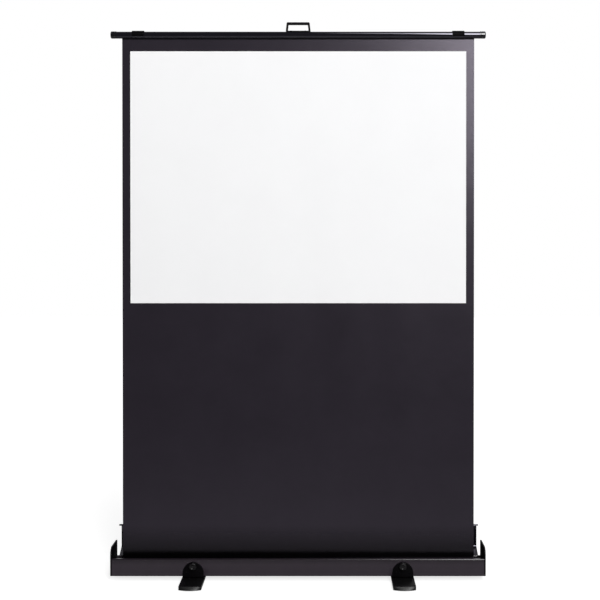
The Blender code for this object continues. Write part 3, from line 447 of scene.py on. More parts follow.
def soften(
    piece: bpy.types.Object, width: float, segments: int = 3, angle: float = CUT_SHARP,
) -> None:
    """Round a piece's sharp edges with a bevel and shade it smoothly.

    Args:
        piece: The piece to round.
        width: The bevel's width.
        segments: How many faces go over an edge.
        angle: Edges that turn by more than this many degrees are rounded.
    """
    bevel = piece.modifiers.new("edges", "BEVEL")
    bevel.width = width
    bevel.segments = segments
    bevel.limit_method = "ANGLE"
    bevel.angle_limit = math.radians(angle)
    bevel.harden_normals = False
    settle(piece)
    tidy(piece.data, SOFT_SHARP)


# Finishes

class Bench:
    """Puts nodes into one tree and links them."""

    def __init__(self, tree: bpy.types.NodeTree) -> None:
        """Take the tree to work on."""
        self.tree = tree

    def feed(self, target: Socket, source: object) -> None:
        """Give a socket a link or a constant.

        Args:
            target: The socket to feed.
            source: A node's output, or a value.
        """
        if isinstance(source, Socket):
            self.tree.links.new(source, target)
        else:
            target.default_value = source

    def node(self, kind: str, feeds: Feeds | None = None, **settings: object) -> bpy.types.Node:
        """Add a node.

        Args:
            kind: The node's type.
            feeds: What feeds its inputs, by name or number.
            settings: Its properties.

        Returns:
            The new node.
        """
        made = self.tree.nodes.new(kind)
        for key, value in settings.items():
            setattr(made, key, value)
        for key, source in (feeds or {}).items():
            self.feed(made.inputs[key], source)
        return made


class ShaderBench(Bench):
    """Builds one material on object coordinates."""

    MIX_FIRST, MIX_SECOND, MIX_RESULT = 6, 7, 2
    NOISE_FEEDS = ("Vector", "Scale", "Detail", "Roughness")
    SPAN_FEEDS = ("Value", "From Min", "From Max", "To Min", "To Max")
    EDGE_TURN = (0.995, 0.93)
    UPWARD = (0.55, 0.95)

    def __init__(self, name: str) -> None:
        """Start a material with its Principled shader.

        Args:
            name: The material's name.
        """
        self.material = bpy.data.materials.new(name)
        self.material.use_nodes = True
        super().__init__(self.material.node_tree)
        self.place = self.node("ShaderNodeTexCoord").outputs["Object"]

    def finish(self, feeds: dict[str, object]) -> bpy.types.Material:
        """Feed the shader's own sockets.

        Args:
            feeds: What feeds each socket, by name.

        Returns:
            The finished material.
        """
        shader = self.tree.nodes["Principled BSDF"]
        for key, source in feeds.items():
            self.feed(shader.inputs[key], source)
        return self.material

    def axes(self, vector: Socket | None = None) -> bpy.types.bpy_prop_collection:
        """The X, Y and Z of a vector, or else of the object coordinates."""
        return self.node("ShaderNodeSeparateXYZ", {0: vector or self.place}).outputs

    def stretched(self, scale: Place) -> Socket:
        """Object coordinates scaled along each axis."""
        feeds = {"Vector": self.place, "Scale": scale}
        return self.node("ShaderNodeMapping", feeds).outputs["Vector"]

    def noise(
        self, scale: float, detail: float = 3.0, rough: float = 0.55, vector: Socket | None = None,
    ) -> Socket:
        """A noise value from 0 to 1, on object coordinates or another vector."""
        feeds = dict(zip(self.NOISE_FEEDS, (vector or self.place, scale, detail, rough)))
        return self.node("ShaderNodeTexNoise", feeds).outputs["Fac"]

    def math(self, operation: str, first: object, second: object = 0.0) -> Socket:
        """The result of one Math node."""
        return self.node("ShaderNodeMath", {0: first, 1: second}, operation=operation).outputs[0]

    def span(self, value: object, source: Point, target: Point) -> Socket:
        """A value mapped from one range to another and clamped."""
        feeds = dict(zip(self.SPAN_FEEDS, (value, *source, *target)))
        return self.node("ShaderNodeMapRange", feeds).outputs["Result"]

    def blend(self, share: object, first: object, second: object) -> Socket:
        """A mix of two colours.

        Args:
            share: The second colour's share.
            first: The first colour.
            second: The second colour.

        Returns:
            The mixed colour.
        """
        made = self.node("ShaderNodeMix", {"Factor": share}, data_type="RGBA")
        for key, item in ((self.MIX_FIRST, first), (self.MIX_SECOND, second)):
            self.feed(made.inputs[key], (*item, 1.0) if isinstance(item, tuple) else item)
        return made.outputs[self.MIX_RESULT]

    def bump(self, height: Socket, distance: float) -> Socket:
        """A bump normal from a height."""
        feeds = {"Strength": 1.0, "Distance": distance, "Height": height}
        return self.node("ShaderNodeBump", feeds).outputs["Normal"]

    def edge(self, radius: float) -> Socket:
        """A mask that is 1 along sharp edges.

        Args:
            radius: How far from an edge the mask reaches.

        Returns:
            The mask.
        """
        soft = self.node("ShaderNodeBevel", {"Radius": radius}, samples=4)
        feeds = {0: soft.outputs["Normal"], 1: self.node("ShaderNodeNewGeometry").outputs["Normal"]}
        turn = self.node("ShaderNodeVectorMath", feeds, operation="DOT_PRODUCT")
        return self.span(turn.outputs["Value"], self.EDGE_TURN, MASK)

    def upward(self) -> Socket:
        """A mask that is 1 on faces that look up."""
        normal = self.node("ShaderNodeNewGeometry").outputs["Normal"]
        return self.span(self.axes(normal)["Z"], self.UPWARD, MASK)


@dataclass(frozen=True)
class Finish:
    """What every finish has."""

    name: str
    slot: str  # the record's material slot
    colour: Colour
    gloss: Point  # lowest and highest roughness

    def shade(self, share: float) -> Colour:
        """The main colour times a share, at most 1."""
        return tuple(min(1.0, share * c) for c in self.colour)

    def material(self) -> bpy.types.Material:
        """Build the finish's shader."""
        raise NotImplementedError


@dataclass(frozen=True)
class CoatFinish(Finish):
    """A sprayed coat on metal: orange peel, colour drift, dust on top, bright worn edges, and
    painted shade that can darken it under a rim.
    """

    peel: float = 0.00003  # height of the orange peel
    wear: float = 0.35  # how far worn edges turn to the colour of wear
    specular: float = 0.5
    painted_lip_shade: float = 0.0  # share of painted light low on the case front, which fades out below the case's rim so that the front reads darker there as painted shade
    tint: Colour = WHITE  # cast of the reflections

    WORN = (0.085, 0.082, 0.088)
    DUST = (0.20, 0.195, 0.19)
    # Painted light on the low front, and the heights over which it fades out under the rim, leaving
    # painted shade.
    PAINTED_LIGHT_LOW = (0.080, 0.062, 0.084)
    PAINTED_LIP_SHADE_FADE = (0.060, 0.080)
    DARK, PALE = 0.72, 1.35
    SCUFFS, SPECKS = (0.42, 0.62), (0.58, 0.8)
    SPECK_SHARE = (0.0, 0.05)

    def material(self) -> bpy.types.Material:
        """Build the coat's shader.

        Returns:
            The finished material.
        """
        bench = ShaderBench(self.name)
        tone = bench.noise(scale=23.0, detail=4.0)
        coat = bench.blend(tone, self.shade(self.DARK), self.shade(self.PALE))
        # Painted shade under the case's rim: the front is paler low down and darker near the rim.
        if self.painted_lip_shade:
            low = bench.span(bench.axes()["Z"], self.PAINTED_LIP_SHADE_FADE, (self.painted_lip_shade, 0.0))
            coat = bench.blend(low, coat, self.PAINTED_LIGHT_LOW)
        scuffs = bench.noise(scale=310.0, detail=5.0, rough=0.7)
        scuffs = bench.span(scuffs, self.SCUFFS, (0.0, self.wear))
        worn = bench.math("MULTIPLY", bench.edge(radius=0.0009), scuffs)
        coat = bench.blend(worn, coat, self.WORN)
        specks = bench.noise(scale=640.0, detail=2.0)
        specks = bench.span(specks, self.SPECKS, self.SPECK_SHARE)
        coat = bench.blend(bench.math("MULTIPLY", bench.upward(), specks), coat, self.DUST)
        along = bench.stretched((1.0, 3.0, 3.0))
        smear = bench.noise(scale=14.0, detail=3.0, rough=0.6, vector=along)
        return bench.finish({
            "Base Color": coat,
            "Roughness": bench.span(smear, MIDDLE, self.gloss),
            "Specular IOR Level": self.specular,
            "Specular Tint": (*self.tint, 1.0),
            "Normal": bench.bump(bench.noise(scale=900.0, detail=2.0), self.peel),
        })


@dataclass(frozen=True)
class MouldedFinish(Finish):
    """Moulded plastic or rubber: a pebbled skin with rubbed edges."""

    pebble: float = 1300.0  # pebbles to the metre
    depth: float = 0.00003  # height of the pebbles
    rub: Colour = (0.06, 0.058, 0.062)  # colour of rubbed edges
    specular: float = 0.3

    DARK, PALE = 0.75, 1.3
    RUBS, RUB_SHARE = (0.4, 0.65), (0.0, 0.4)

    def material(self) -> bpy.types.Material:
        """Build the plastic's shader.

        Returns:
            The finished material.
        """
        bench = ShaderBench(self.name)
        tone = bench.noise(scale=38.0, detail=4.0)
        skin = bench.blend(tone, self.shade(self.DARK), self.shade(self.PALE))
        rubs = bench.span(bench.noise(scale=210.0, detail=4.0), self.RUBS, self.RUB_SHARE)
        rubbed = bench.math("MULTIPLY", bench.edge(radius=0.0011), rubs)
        feeds = {"Vector": bench.place, "Scale": self.pebble}
        cells = bench.node("ShaderNodeTexVoronoi", feeds, feature="SMOOTH_F1")
        return bench.finish({
            "Base Color": bench.blend(rubbed, skin, self.rub),
            "Roughness": bench.span(bench.noise(scale=55.0, detail=3.0), MIDDLE, self.gloss),
            "Specular IOR Level": self.specular,
            "Normal": bench.bump(cells.outputs["Distance"], self.depth),
        })


@dataclass(frozen=True)
class MetalFinish(Finish):
    """Bare or plated metal with drawn lines along one axis."""

    grain: Place = (6.0, 90.0, 90.0)  # stretch of the lines along each axis

    LINE_HEIGHT = 0.00002
    DULL = 0.78

    def material(self) -> bpy.types.Material:
        """Build the metal's shader.

        Returns:
            The finished material.
        """
        bench = ShaderBench(self.name)
        lines = bench.noise(scale=18.0, detail=6.0, rough=0.7, vector=bench.stretched(self.grain))
        blotch = bench.span(bench.noise(scale=120.0, detail=3.0), MIDDLE, MASK)
        return bench.finish({
            "Base Color": bench.blend(blotch, self.shade(self.DULL), self.colour),
            "Roughness": bench.span(lines, MIDDLE, self.gloss),
            "Metallic": 1.0,
            "Normal": bench.bump(lines, self.LINE_HEIGHT),
        })


@dataclass(frozen=True)
class ClothFinish(Finish):
    """Coated cloth: a fine weave that shows through the coat, with faint cloudy drift, and painted
    shade that can darken it towards the roller.
    """

    pitch: float  # distance between threads
    relief: float  # height of the threads
    drift: float  # share by which the colour drifts
    specular: float
    painted_shade_keep: float = 1.0  # share of the colour left at the roller, where painted shade darkens the cloth towards the case
    tint: Colour = WHITE  # cast of the reflections

    # Heights between which the painted shade fades from full, near the roller, to none.
    PAINTED_SHADE_FADE = (0.10, 0.19)
    CLOUD_SHARE, FLECK_SHARE = 0.7, 0.3
    FLECK_RELIEF = 0.6

    def material(self) -> bpy.types.Material:
        """Build the cloth's shader.

        Returns:
            The finished material.
        """
        bench = ShaderBench(self.name)
        cloud = bench.noise(scale=5.0, detail=5.0, rough=0.6)
        fleck = bench.noise(scale=420.0, detail=2.0)
        clouds = bench.math("MULTIPLY", cloud, self.CLOUD_SHARE)
        flecks = bench.math("MULTIPLY", fleck, self.FLECK_SHARE)
        tone = bench.span(bench.math("ADD", clouds, flecks), MIDDLE, MASK)
        cloth = bench.blend(tone, self.shade(1 - self.drift), self.shade(1 + self.drift))
        axes = bench.axes()
        # Painted shade: the cloth darkens to black towards the case, standing in for the shade that
        # falls there.
        low = bench.span(axes["Z"], self.PAINTED_SHADE_FADE, (1.0 - self.painted_shade_keep, 0.0))
        turn = 2 * math.pi / self.pitch
        warp, weft = (bench.math("SINE", bench.math("MULTIPLY", axes[key], turn)) for key in "XZ")
        weave = bench.math("MULTIPLY", warp, weft)
        threads = bench.math("ADD", weave, bench.math("MULTIPLY", fleck, self.FLECK_RELIEF))
        return bench.finish({
            "Base Color": bench.blend(low, cloth, BLACK),
            "Roughness": bench.span(cloud, MIDDLE, self.gloss),
            "Specular IOR Level": self.specular,
            "Specular Tint": (*self.tint, 1.0),
            "Normal": bench.bump(threads, self.relief),
        })


class Look(Enum):
    """Every finish of the screen."""

    # The case's coat carries painted shade under its rim.
    CASE_LACQUER = CoatFinish(
        "case_lacquer", "gloss_black", (0.0125, 0.0086, 0.0130), (0.14, 0.20),
        peel=0.000002, wear=0.30, painted_lip_shade=0.20)
    BAR_LACQUER = CoatFinish(
        "bar_lacquer", "gloss_black", (0.0024, 0.0020, 0.0040), (0.05, 0.08),
        peel=0.000001, wear=0.30, specular=0.96, tint=(0.89, 0.87, 1.0))
    ARM_COAT = CoatFinish("arm_coat", "satin_black_metal", (0.0070, 0.0060, 0.0075), (0.34, 0.46))
    FOOT_COAT = CoatFinish(
        "foot_coat", "satin_black_metal", (0.0010, 0.0008, 0.0013), (0.37, 0.45),
        peel=0.00001, wear=0.30, specular=0.46)
    BRACKET_COAT = CoatFinish(
        "bracket_coat", "black_steel", (0.0014, 0.0011, 0.0017), (0.42, 0.56),
        peel=0.00005, specular=0.05)
    CAP_PLASTIC = MouldedFinish(
        "cap_plastic", "black_plastic", (0.0028, 0.0023, 0.0031), (0.44, 0.58), specular=0.09)
    KNOB_PLASTIC = MouldedFinish(
        "knob_plastic", "black_plastic", (0.0020, 0.0016, 0.0024), (0.28, 0.36), specular=0.40)
    PLUG_PLASTIC = MouldedFinish(
        "plug_plastic", "black_plastic", (0.0024, 0.0020, 0.0040), (0.05, 0.09),
        pebble=600.0, depth=0.000001, specular=0.85)
    BARE_TUBE = MetalFinish("bare_tube", "bare_aluminium", (0.68, 0.68, 0.70), (0.26, 0.42))
    ZINC_PLATE = MetalFinish(
        "zinc_plate", "zinc_steel", (0.55, 0.56, 0.58), (0.22, 0.40), grain=(40.0, 40.0, 40.0))
    BEARING_NYLON = MouldedFinish(
        "bearing_nylon", "nylon", (0.72, 0.71, 0.66), (0.40, 0.55),
        pebble=2200.0, depth=0.00001, rub=(0.80, 0.79, 0.75))
    SOLE_RUBBER = MouldedFinish(
        "sole_rubber", "rubber", (0.012, 0.012, 0.012), (0.75, 0.92),
        pebble=1800.0, depth=0.00006, rub=(0.03, 0.03, 0.03))
    # The black cloth carries painted shade that turns it black towards the roller.
    BLACK_CLOTH = ClothFinish(
        "black_cloth", "black_vinyl", (0.0174, 0.0143, 0.0204), (0.22, 0.25),
        pitch=0.0011, relief=0.000006, drift=0.10, specular=0.45,
        painted_shade_keep=0.0, tint=(0.93, 0.85, 1.0))
    WHITE_COATING = ClothFinish(
        "white_coating", "white_vinyl", (0.930, 0.930, 0.938), (0.80, 0.92),
        pitch=0.0009, relief=0.000015, drift=0.012, specular=0.25)


class Finishes:
    """The material of every finish, built once."""

    def __init__(self) -> None:
        """Build the materials."""
        self.materials = {look: look.value.material() for look in Look}

    def dress(self, piece: bpy.types.Object, look: Look) -> None:
        """Give a piece one finish.

        Args:
            piece: The piece to dress.
            look: Its finish.
        """
        piece.data.materials.clear()
        piece.data.materials.append(self.materials[look])
        for face in piece.data.polygons:
            face.material_index = 0


# What repeats

class NodeBench(Bench):
    """Builds one Geometry Nodes tree with named inputs."""

    SOCKETS = {
        float: "NodeSocketFloat", int: "NodeSocketInt", bpy.types.Material: "NodeSocketMaterial",
        bpy.types.Object: "NodeSocketObject", Vector: "NodeSocketVector",
    }
    SHARP = 35.0

    def __init__(self, name: str, inputs: dict[str, type]) -> None:
        """Start a tree that takes a geometry, the named inputs and a finish.

        Args:
            name: The tree's name.
            inputs: The type of each named input.
        """
        super().__init__(bpy.data.node_groups.new(name, "GeometryNodeTree"))
        face = self.tree.interface
        face.new_socket("Geometry", in_out="INPUT", socket_type="NodeSocketGeometry")
        self.keys = {
            key: face.new_socket(key, in_out="INPUT", socket_type=self.SOCKETS[kind]).identifier
            for key, kind in {**inputs, "Finish": bpy.types.Material}.items()
        }
        face.new_socket("Geometry", in_out="OUTPUT", socket_type="NodeSocketGeometry")
        self.given = self.node("NodeGroupInput").outputs

    def close(self, geometry: Socket) -> None:
        """End the tree: realize, shade smoothly and set the material.

        Args:
            geometry: What the tree has made.
        """
        real = self.node("GeometryNodeRealizeInstances", {"Geometry": geometry})
        smooth = self.node("GeometryNodeSetShadeSmooth", {"Geometry": real.outputs[0]})
        dressed = self.node("GeometryNodeSetMaterial", {
            "Geometry": smooth.outputs[0], "Material": self.given["Finish"]})
        self.node("NodeGroupOutput", {0: dressed.outputs[0]})

    def run(self, name: str, start: bpy.types.Mesh, values: dict[str, object]) -> bpy.types.Object:
        """Evaluate the tree on a mesh.

        Args:
            name: The new piece's name.
            start: The mesh that the tree starts from.
            values: The value of each named input.

        Returns:
            A piece with a plain mesh.
        """
        piece = add_object(name, start)
        step = piece.modifiers.new("repeat", "NODES")
        step.node_group = self.tree
        for key, value in values.items():
            step[self.keys[key]] = value
        settle(piece)
        piece.data.set_sharp_from_angle(angle=math.radians(self.SHARP))
        return piece


class Repeat:
    """Something that repeats: its tree, and a way to put what the tree makes on a body."""

    def __init__(self, finishes: Finishes, bench: NodeBench) -> None:
        """Keep the finishes and the tree."""
        self.finishes = finishes
        self.bench = bench

    def place(
        self, name: str, body: str, look: Look, start: bpy.types.Mesh, values: dict[str, object],
    ) -> bpy.types.Object:
        """Run the tree and ride the result on a body.

        Args:
            name: The piece's name.
            body: The body that it rides on.
            look: Its finish.
            start: The mesh that the tree starts from.
            values: The value of each named input but the finish.

        Returns:
            The dressed piece.
        """
        piece = self.bench.run(name, start, {**values, "Finish": self.finishes.materials[look]})
        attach(piece, body)
        log.info("repeated %s on %s", name, body)
        return piece


class Fasteners(Repeat):
    """Screw and rivet heads set on points, each turned by a fixed random spin."""

    HEAD_FACETS = 24
    SKIRT = 0.35
    CROSS_REACH, CROSS_HALF, CROSS_DEPTH = 0.6, 0.1, 0.65
    CROSS_TURN = 4.0
    SPIN_MAX = 3

    def __init__(self, finishes: Finishes) -> None:
        """Build the tree.

        Args:
            finishes: The screen's finishes.
        """
        bench = NodeBench("fastener_heads", {"Head": bpy.types.Object, "Seed": int})
        given = bench.given
        facing = bench.node(
            "GeometryNodeInputNamedAttribute", {"Name": "facing"}, data_type="FLOAT_VECTOR")
        aim = bench.node("FunctionNodeAlignRotationToVector", {
            "Vector": facing.outputs["Attribute"]}, axis="Z")
        spin = bench.node("FunctionNodeRandomValue", {
            "Seed": given["Seed"], self.SPIN_MAX: 2 * math.pi}, data_type="FLOAT")
        twist = bench.node("FunctionNodeAxisAngleToRotation", {
            "Axis": (0, 0, 1), "Angle": spin.outputs[1]})
        turn = bench.node("FunctionNodeRotateRotation", {
            "Rotation": aim.outputs[0], "Rotate By": twist.outputs[0]}, rotation_space="LOCAL")
        head = bench.node("GeometryNodeObjectInfo", {"Object": given["Head"]})
        put = bench.node("GeometryNodeInstanceOnPoints", {
            "Points": given["Geometry"], "Instance": head.outputs["Geometry"],
            "Rotation": turn.outputs[0]})
        bench.close(put.outputs[0])
        super().__init__(finishes, bench)

    def head(self, radius: float, height: float, crossed: bool) -> bpy.types.Object:
        """One domed head standing on its own origin.

        Args:
            radius: The head's radius.
            height: Its height.
            crossed: Whether it has a cross recess.

        Returns:
            The head.
        """
        skirt = height * self.SKIRT
        profile = ellipse((0, skirt), (radius, height - skirt), 90, 0, steps=9)
        profile += [(radius, 0), (0, 0)]
        made = turned("head", profile, (0, 0, 0), Axis.UP, facets=self.HEAD_FACETS)
        if crossed:
            far, near = self.CROSS_REACH * radius, self.CROSS_HALF * radius
            arm = [(near, near), (near, far), (-near, far)]
            turns = ((1, 0), (0, 1), (-1, 0), (0, -1))
            cross = [(u * c - v * s, u * s + v * c) for c, s in turns for u, v in arm]
            depth = 2 * self.CROSS_DEPTH * height
            recess = extruded("cross", [cross], depth, (0, 0, height), Axis.UP)
            recess.data.transform(Matrix.Rotation(math.radians(self.CROSS_TURN), 4, "Z"))
            cut(made, recess)
        return made

    def set(
        self, name: str, body: str, look: Look, spots: Iterable[Spot],
        size: Point, seed: int, crossed: bool = True,
    ) -> None:
        """Set heads on spots and ride them on a body.

        Args:
            name: The piece's name.
            body: The body that it rides on.
            look: Its finish.
            spots: Places and the directions that the heads face.
            size: A head's radius and height.
            seed: The seed of the random spin.
            crossed: Whether the heads have a cross recess.
        """
        places, ways = zip(*spots)
        mesh = bpy.data.meshes.new(name)
        mesh.from_pydata([tuple(place) for place in places], [], [])
        facing = mesh.attributes.new("facing", "FLOAT_VECTOR", "POINT")
        for item, way in zip(facing.data, ways):
            item.vector = way
        head = self.head(*size, crossed)
        self.place(name, body, look, mesh, {"Head": head, "Seed": seed})
        bpy.data.objects.remove(head, do_unlink=True)


class Ribs(Repeat):
    """Round ribs in a row, for pads and grips."""

    RIB_FACETS = 12

    def __init__(self, finishes: Finishes) -> None:
        """Build the tree.

        Args:
            finishes: The screen's finishes.
        """
        bench = NodeBench("rib_row", {
            "Count": int, "Start": Vector, "Step": Vector,
            "Radius": float, "Length": float, "Lie": Vector})
        given = bench.given
        row = bench.node("GeometryNodeMeshLine", {
            "Count": given["Count"], "Start Location": given["Start"],
            "Offset": given["Step"]}, mode="OFFSET")
        rib = bench.node("GeometryNodeMeshCylinder", {
            "Vertices": self.RIB_FACETS, "Radius": given["Radius"], "Depth": given["Length"]})
        lie = bench.node("FunctionNodeEulerToRotation", {0: given["Lie"]})
        put = bench.node("GeometryNodeInstanceOnPoints", {
            "Points": row.outputs[0], "Instance": rib.outputs["Mesh"], "Rotation": lie.outputs[0]})
        bench.close(put.outputs[0])
        super().__init__(finishes, bench)

    def row(
        self, name: str, body: str, look: Look, count: int,
        start: Place, step: Place, size: Point, lie: Place,
    ) -> None:
        """Lay a row of ribs and ride it on a body.

        Args:
            name: The piece's name.
            body: The body that it rides on.
            look: Its finish.
            count: How many ribs it has.
            start: The first rib's middle.
            step: The way from one rib to the next.
            size: A rib's radius and length.
            lie: The rotation from standing upright.
        """
        self.place(name, body, look, bpy.data.meshes.new(name), {
            "Count": count, "Start": start, "Step": step,
            "Radius": size[0], "Length": size[1], "Lie": lie})


class Winding:
    """A coil spring wound along X."""

    STEPS_PER_TURN, WIRE_FACETS = 40, 12

    def __init__(self) -> None:
        """Build the tree."""
        bench = NodeBench("spring_winding", {
            "Turns": float, "Radius": float, "Length": float, "Wire": float, "Centre": Vector})
        given = bench.given
        coil = bench.node("GeometryNodeCurveSpiral", {
            "Resolution": self.STEPS_PER_TURN, "Rotations": given["Turns"],
            "Start Radius": given["Radius"], "End Radius": given["Radius"],
            "Height": given["Length"]})
        wire = bench.node("GeometryNodeCurvePrimitiveCircle", {
            "Resolution": self.WIRE_FACETS, "Radius": given["Wire"]})
        body = bench.node("GeometryNodeCurveToMesh", {
            "Curve": coil.outputs[0], "Profile Curve": wire.outputs[0], "Fill Caps": True})
        laid = bench.node("GeometryNodeTransform", {
            "Geometry": body.outputs[0], "Translation": given["Centre"],
            "Rotation": (0, math.radians(90), 0)})
        bench.close(laid.outputs[0])
        self.bench = bench


# Sub-assemblies

@dataclass
class Assembly:
    """What every sub-assembly needs: finishes, fasteners and a way to put its pieces on bodies."""

    finishes: Finishes
    fasteners: Fasteners
    ribs: Ribs

    PIN_RADIUS = 0.004
    PIN_HEAD = (0.0075, 0.0013)
    WASHER_RADIUS, WASHER_HALF, WASHER_EDGE = 0.009, 0.0007, 0.0002

    def fit(self, piece: bpy.types.Object, body: str, look: Look, *nodes: str) -> None:
        """Dress a piece, ride it on its body and let it stand for the nodes.

        Args:
            piece: The finished piece.
            body: The body that it rides on.
            look: Its finish.
            nodes: The nodes that it stands for.
        """
        self.finishes.dress(piece, look)
        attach(piece, body)
        if nodes:
            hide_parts(*nodes)
        log.info("fitted %s on %s", piece.name, body)

    def pin(self, name: str, body: str, front: float, back: float, x: float, z: float) -> None:
        """A riveted pin along Y with domed heads.

        Args:
            name: The node that it stands for.
            body: The body that it rides on.
            front: The face under its front head, in Y.
            back: The face under its rear head.
            x: Its place across.
            z: Its height.
        """
        half = (back - front) / 2 + SEAT
        end = ellipse((0, half), self.PIN_HEAD, 90, 0, steps=6) + [(self.PIN_RADIUS, half)]
        profile = end + [(r, -h) for r, h in end[::-1]]
        at = (x, (front + back) / 2, z)
        piece = turned(name + "_rivet", profile, at, Axis.FRONT, facets=PIN_FACETS)
        self.fit(piece, body, Look.ZINC_PLATE, name)

    def washer(self, name: str, body: str, front: float, x: float, z: float) -> None:
        """A nylon washer along Y behind a face.

        Args:
            name: The node that it stands for.
            body: The body that it rides on.
            front: The face in front of it, in Y.
            x: Its place across.
            z: Its height.
        """
        ring = tube_profile(self.WASHER_RADIUS, PIVOT_BORE, self.WASHER_HALF, self.WASHER_EDGE)
        at = (x, front + SEAT + self.WASHER_HALF, z)
        piece = turned(name + "_disc", ring, at, Axis.FRONT, ring=True, facets=PIN_FACETS)
        self.fit(piece, body, Look.BEARING_NYLON, name)


@dataclass
class Case(Assembly):
    """The channel with its hinge socket, the end caps and the lid."""

    length: float = CASE_LENGTH
    front_top: float = 0.082  # height of the front wall
    lip: float = 0.008  # how far the front lip turns in
    bends: Point = (0.0034, 0.005)  # at the lip and at the floor
    hinge: Point = (0.0565, 0.060)  # its axis in Y and Z
    socket: Point = (0.0036, 0.0060)  # inner and outer radius of the hinge socket
    mouth: float = 125.0  # angle at which the socket opens
    cap_sheet: float = 0.0055
    cap_top: float = 0.1215
    cap_corners: Corner = (0.006, 0.004, 0.028)  # radii of the lower, rear and front corners
    cap_edge: float = 0.0015  # rounding
    spigot: tuple[float, ...] = (0.010, 0.026, 0.002, 0.004)  # reach, height, wall and bend
    cap_screws: tuple[Point, ...] = ((-0.043, 0.036), (0.043, 0.036), (-0.043, 0.073))  # in Y and Z
    cap_screw: Point = (0.0034, 0.0017)  # radius and height of a head
    lid_length: float = CASE_LENGTH - 0.013
    lid_sheet: float = 0.002
    lid_bead: float = 0.0032  # radius of the bead in the socket
    lid_rise: float = 26.0  # degrees at which the skirt leaves the bead
    lid_runs: Place = (0.0546, 0.082, 0.0493)  # lengths of skirt, panel and flange
    lid_slope: float = 13.4  # degrees by which the flange falls
    lid_lip: Point = (0.0009, -0.0049)  # turned end of the flange in Y and Z
    lid_bends: Point = (0.008, 0.0025)  # of the panel and of the lip

    def build(self) -> None:
        """Build the case's own pieces."""
        self.build_channel()
        for side in Side:
            self.build_cap(side)
        self.build_lid()

    def section(self) -> list[Point]:
        """The channel's section in Y and Z.

        Returns:
            The section's outline.
        """
        half = CASE_WALL / 2
        front, top, floor = CASE_FRONT_Y + half, self.front_top - half, CASE_BOTTOM + half
        inner, outer = self.socket
        lip_bend, bend = self.bends
        meet = math.asin(half / outer)
        rear_top = self.hinge[1] - outer * math.cos(meet)
        inside, outside = edges_of([
            (front + self.lip, top, 0), (front, top, lip_bend), (front, floor, bend),
            (self.hinge[0], floor, bend), (self.hinge[0], rear_top, 0)], CASE_WALL)
        lean = math.degrees(meet)
        ring = arc(self.hinge, outer, 270 - lean, self.mouth)[1:]
        ring += arc(self.hinge, inner, self.mouth, 360)
        ring += arc(self.hinge, outer, 360, 270 + lean)[:-1]
        return inside + ring + outside[::-1]

    def build_channel(self) -> None:
        """The folded channel, bored for the swivel pins and the knob studs."""
        channel = extruded("case_trough", [self.section()], self.length, (0, 0, 0), Axis.RIGHT)
        half = CASE_WALL / 2
        for side in Side:
            x = side.sign * FOOT_X
            bore(channel, SWIVEL_BORE, BORE_DEPTH, (x, 0, CASE_BOTTOM + half), Axis.UP)
            stud = (x, CASE_FRONT_Y + half, KNOB_Z)
            bore(channel, STUD_BORE, BORE_DEPTH, stud, Axis.FRONT, STUD_FACETS)
        tidy(channel.data)
        self.fit(channel, "case", Look.CASE_LACQUER, "case_channel")

    def build_cap(self, side: Side) -> None:
        """A moulded end plate with a spigot and three screws.

        Args:
            side: The side that it closes.
        """
        low, rear, front = self.cap_corners
        plate = rounded([(CASE_FRONT_Y, CASE_BOTTOM, low), (CASE_REAR_Y, CASE_BOTTOM, low),
                         (CASE_REAR_Y, self.cap_top, rear), (CASE_FRONT_Y, self.cap_top, front)])
        half, face = self.length / 2, self.length / 2 + SEAT
        middle = (side.sign * (face + self.cap_sheet / 2), 0, 0)
        cap = extruded(f"end_plate_{side.value}", [plate], self.cap_sheet, middle, Axis.RIGHT)
        soften(cap, self.cap_edge, segments=4)
        reach, height, wall, bend = self.spigot
        inset = CASE_WALL + SEAT + wall / 2
        near, far = CASE_FRONT_Y + inset, CASE_REAR_Y - inset
        top, floor = CASE_BOTTOM + height, CASE_BOTTOM + inset
        path = [(near, top, 0), (near, floor, bend), (far, floor, bend), (far, top, 0)]
        depth = reach + SEAT + self.cap_sheet / 2
        middle = (side.sign * (half - reach + depth / 2), 0, 0)
        cut(cap, extruded("spigot", [strip(path, wall)], depth, middle, Axis.RIGHT), Cut.JOIN)
        tidy(cap.data, CUT_SHARP)
        self.fit(cap, "case", Look.CAP_PLASTIC, f"end_cap_{side.value}")
        outer = side.sign * (face + self.cap_sheet)
        spots = [((outer, y, z), (side.sign, 0, 0)) for y, z in self.cap_screws]
        self.fasteners.set(
            f"cap_screws_{side.value}", "case", Look.BRACKET_COAT, spots, self.cap_screw,
            seed=11 + side.sign)

    def build_lid(self) -> None:
        """The open lid: bead, skirt, panel, flange and lip from one extrusion."""
        y, z = self.hinge
        rise, fold = math.radians(self.lid_rise), math.radians(180 - self.lid_slope)
        skirt, panel, flange = self.lid_runs
        bend, lip_bend = self.lid_bends
        low = (y + skirt * math.cos(rise), z + skirt * math.sin(rise))
        high = (low[0], low[1] + panel)
        tip = (high[0] + flange * math.cos(fold), high[1] + flange * math.sin(fold))
        end = (tip[0] + self.lid_lip[0], tip[1] + self.lid_lip[1])
        path = [(y, z, 0), (*low, bend), (*high, bend), (*tip, lip_bend), (*end, 0)]
        neck = math.degrees(math.asin(self.lid_sheet / 2 / self.lid_bead))
        bead = arc(self.hinge, self.lid_bead, self.lid_rise - neck, self.lid_rise + neck - 360)
        inner, outer = edges_of(path, self.lid_sheet)
        section = bead + inner[1:] + outer[:0:-1]
        lid = extruded("lid_cover", [section], self.lid_length, (0, 0, 0), Axis.RIGHT)
        self.fit(lid, "lid", Look.BAR_LACQUER, "lid_shell")


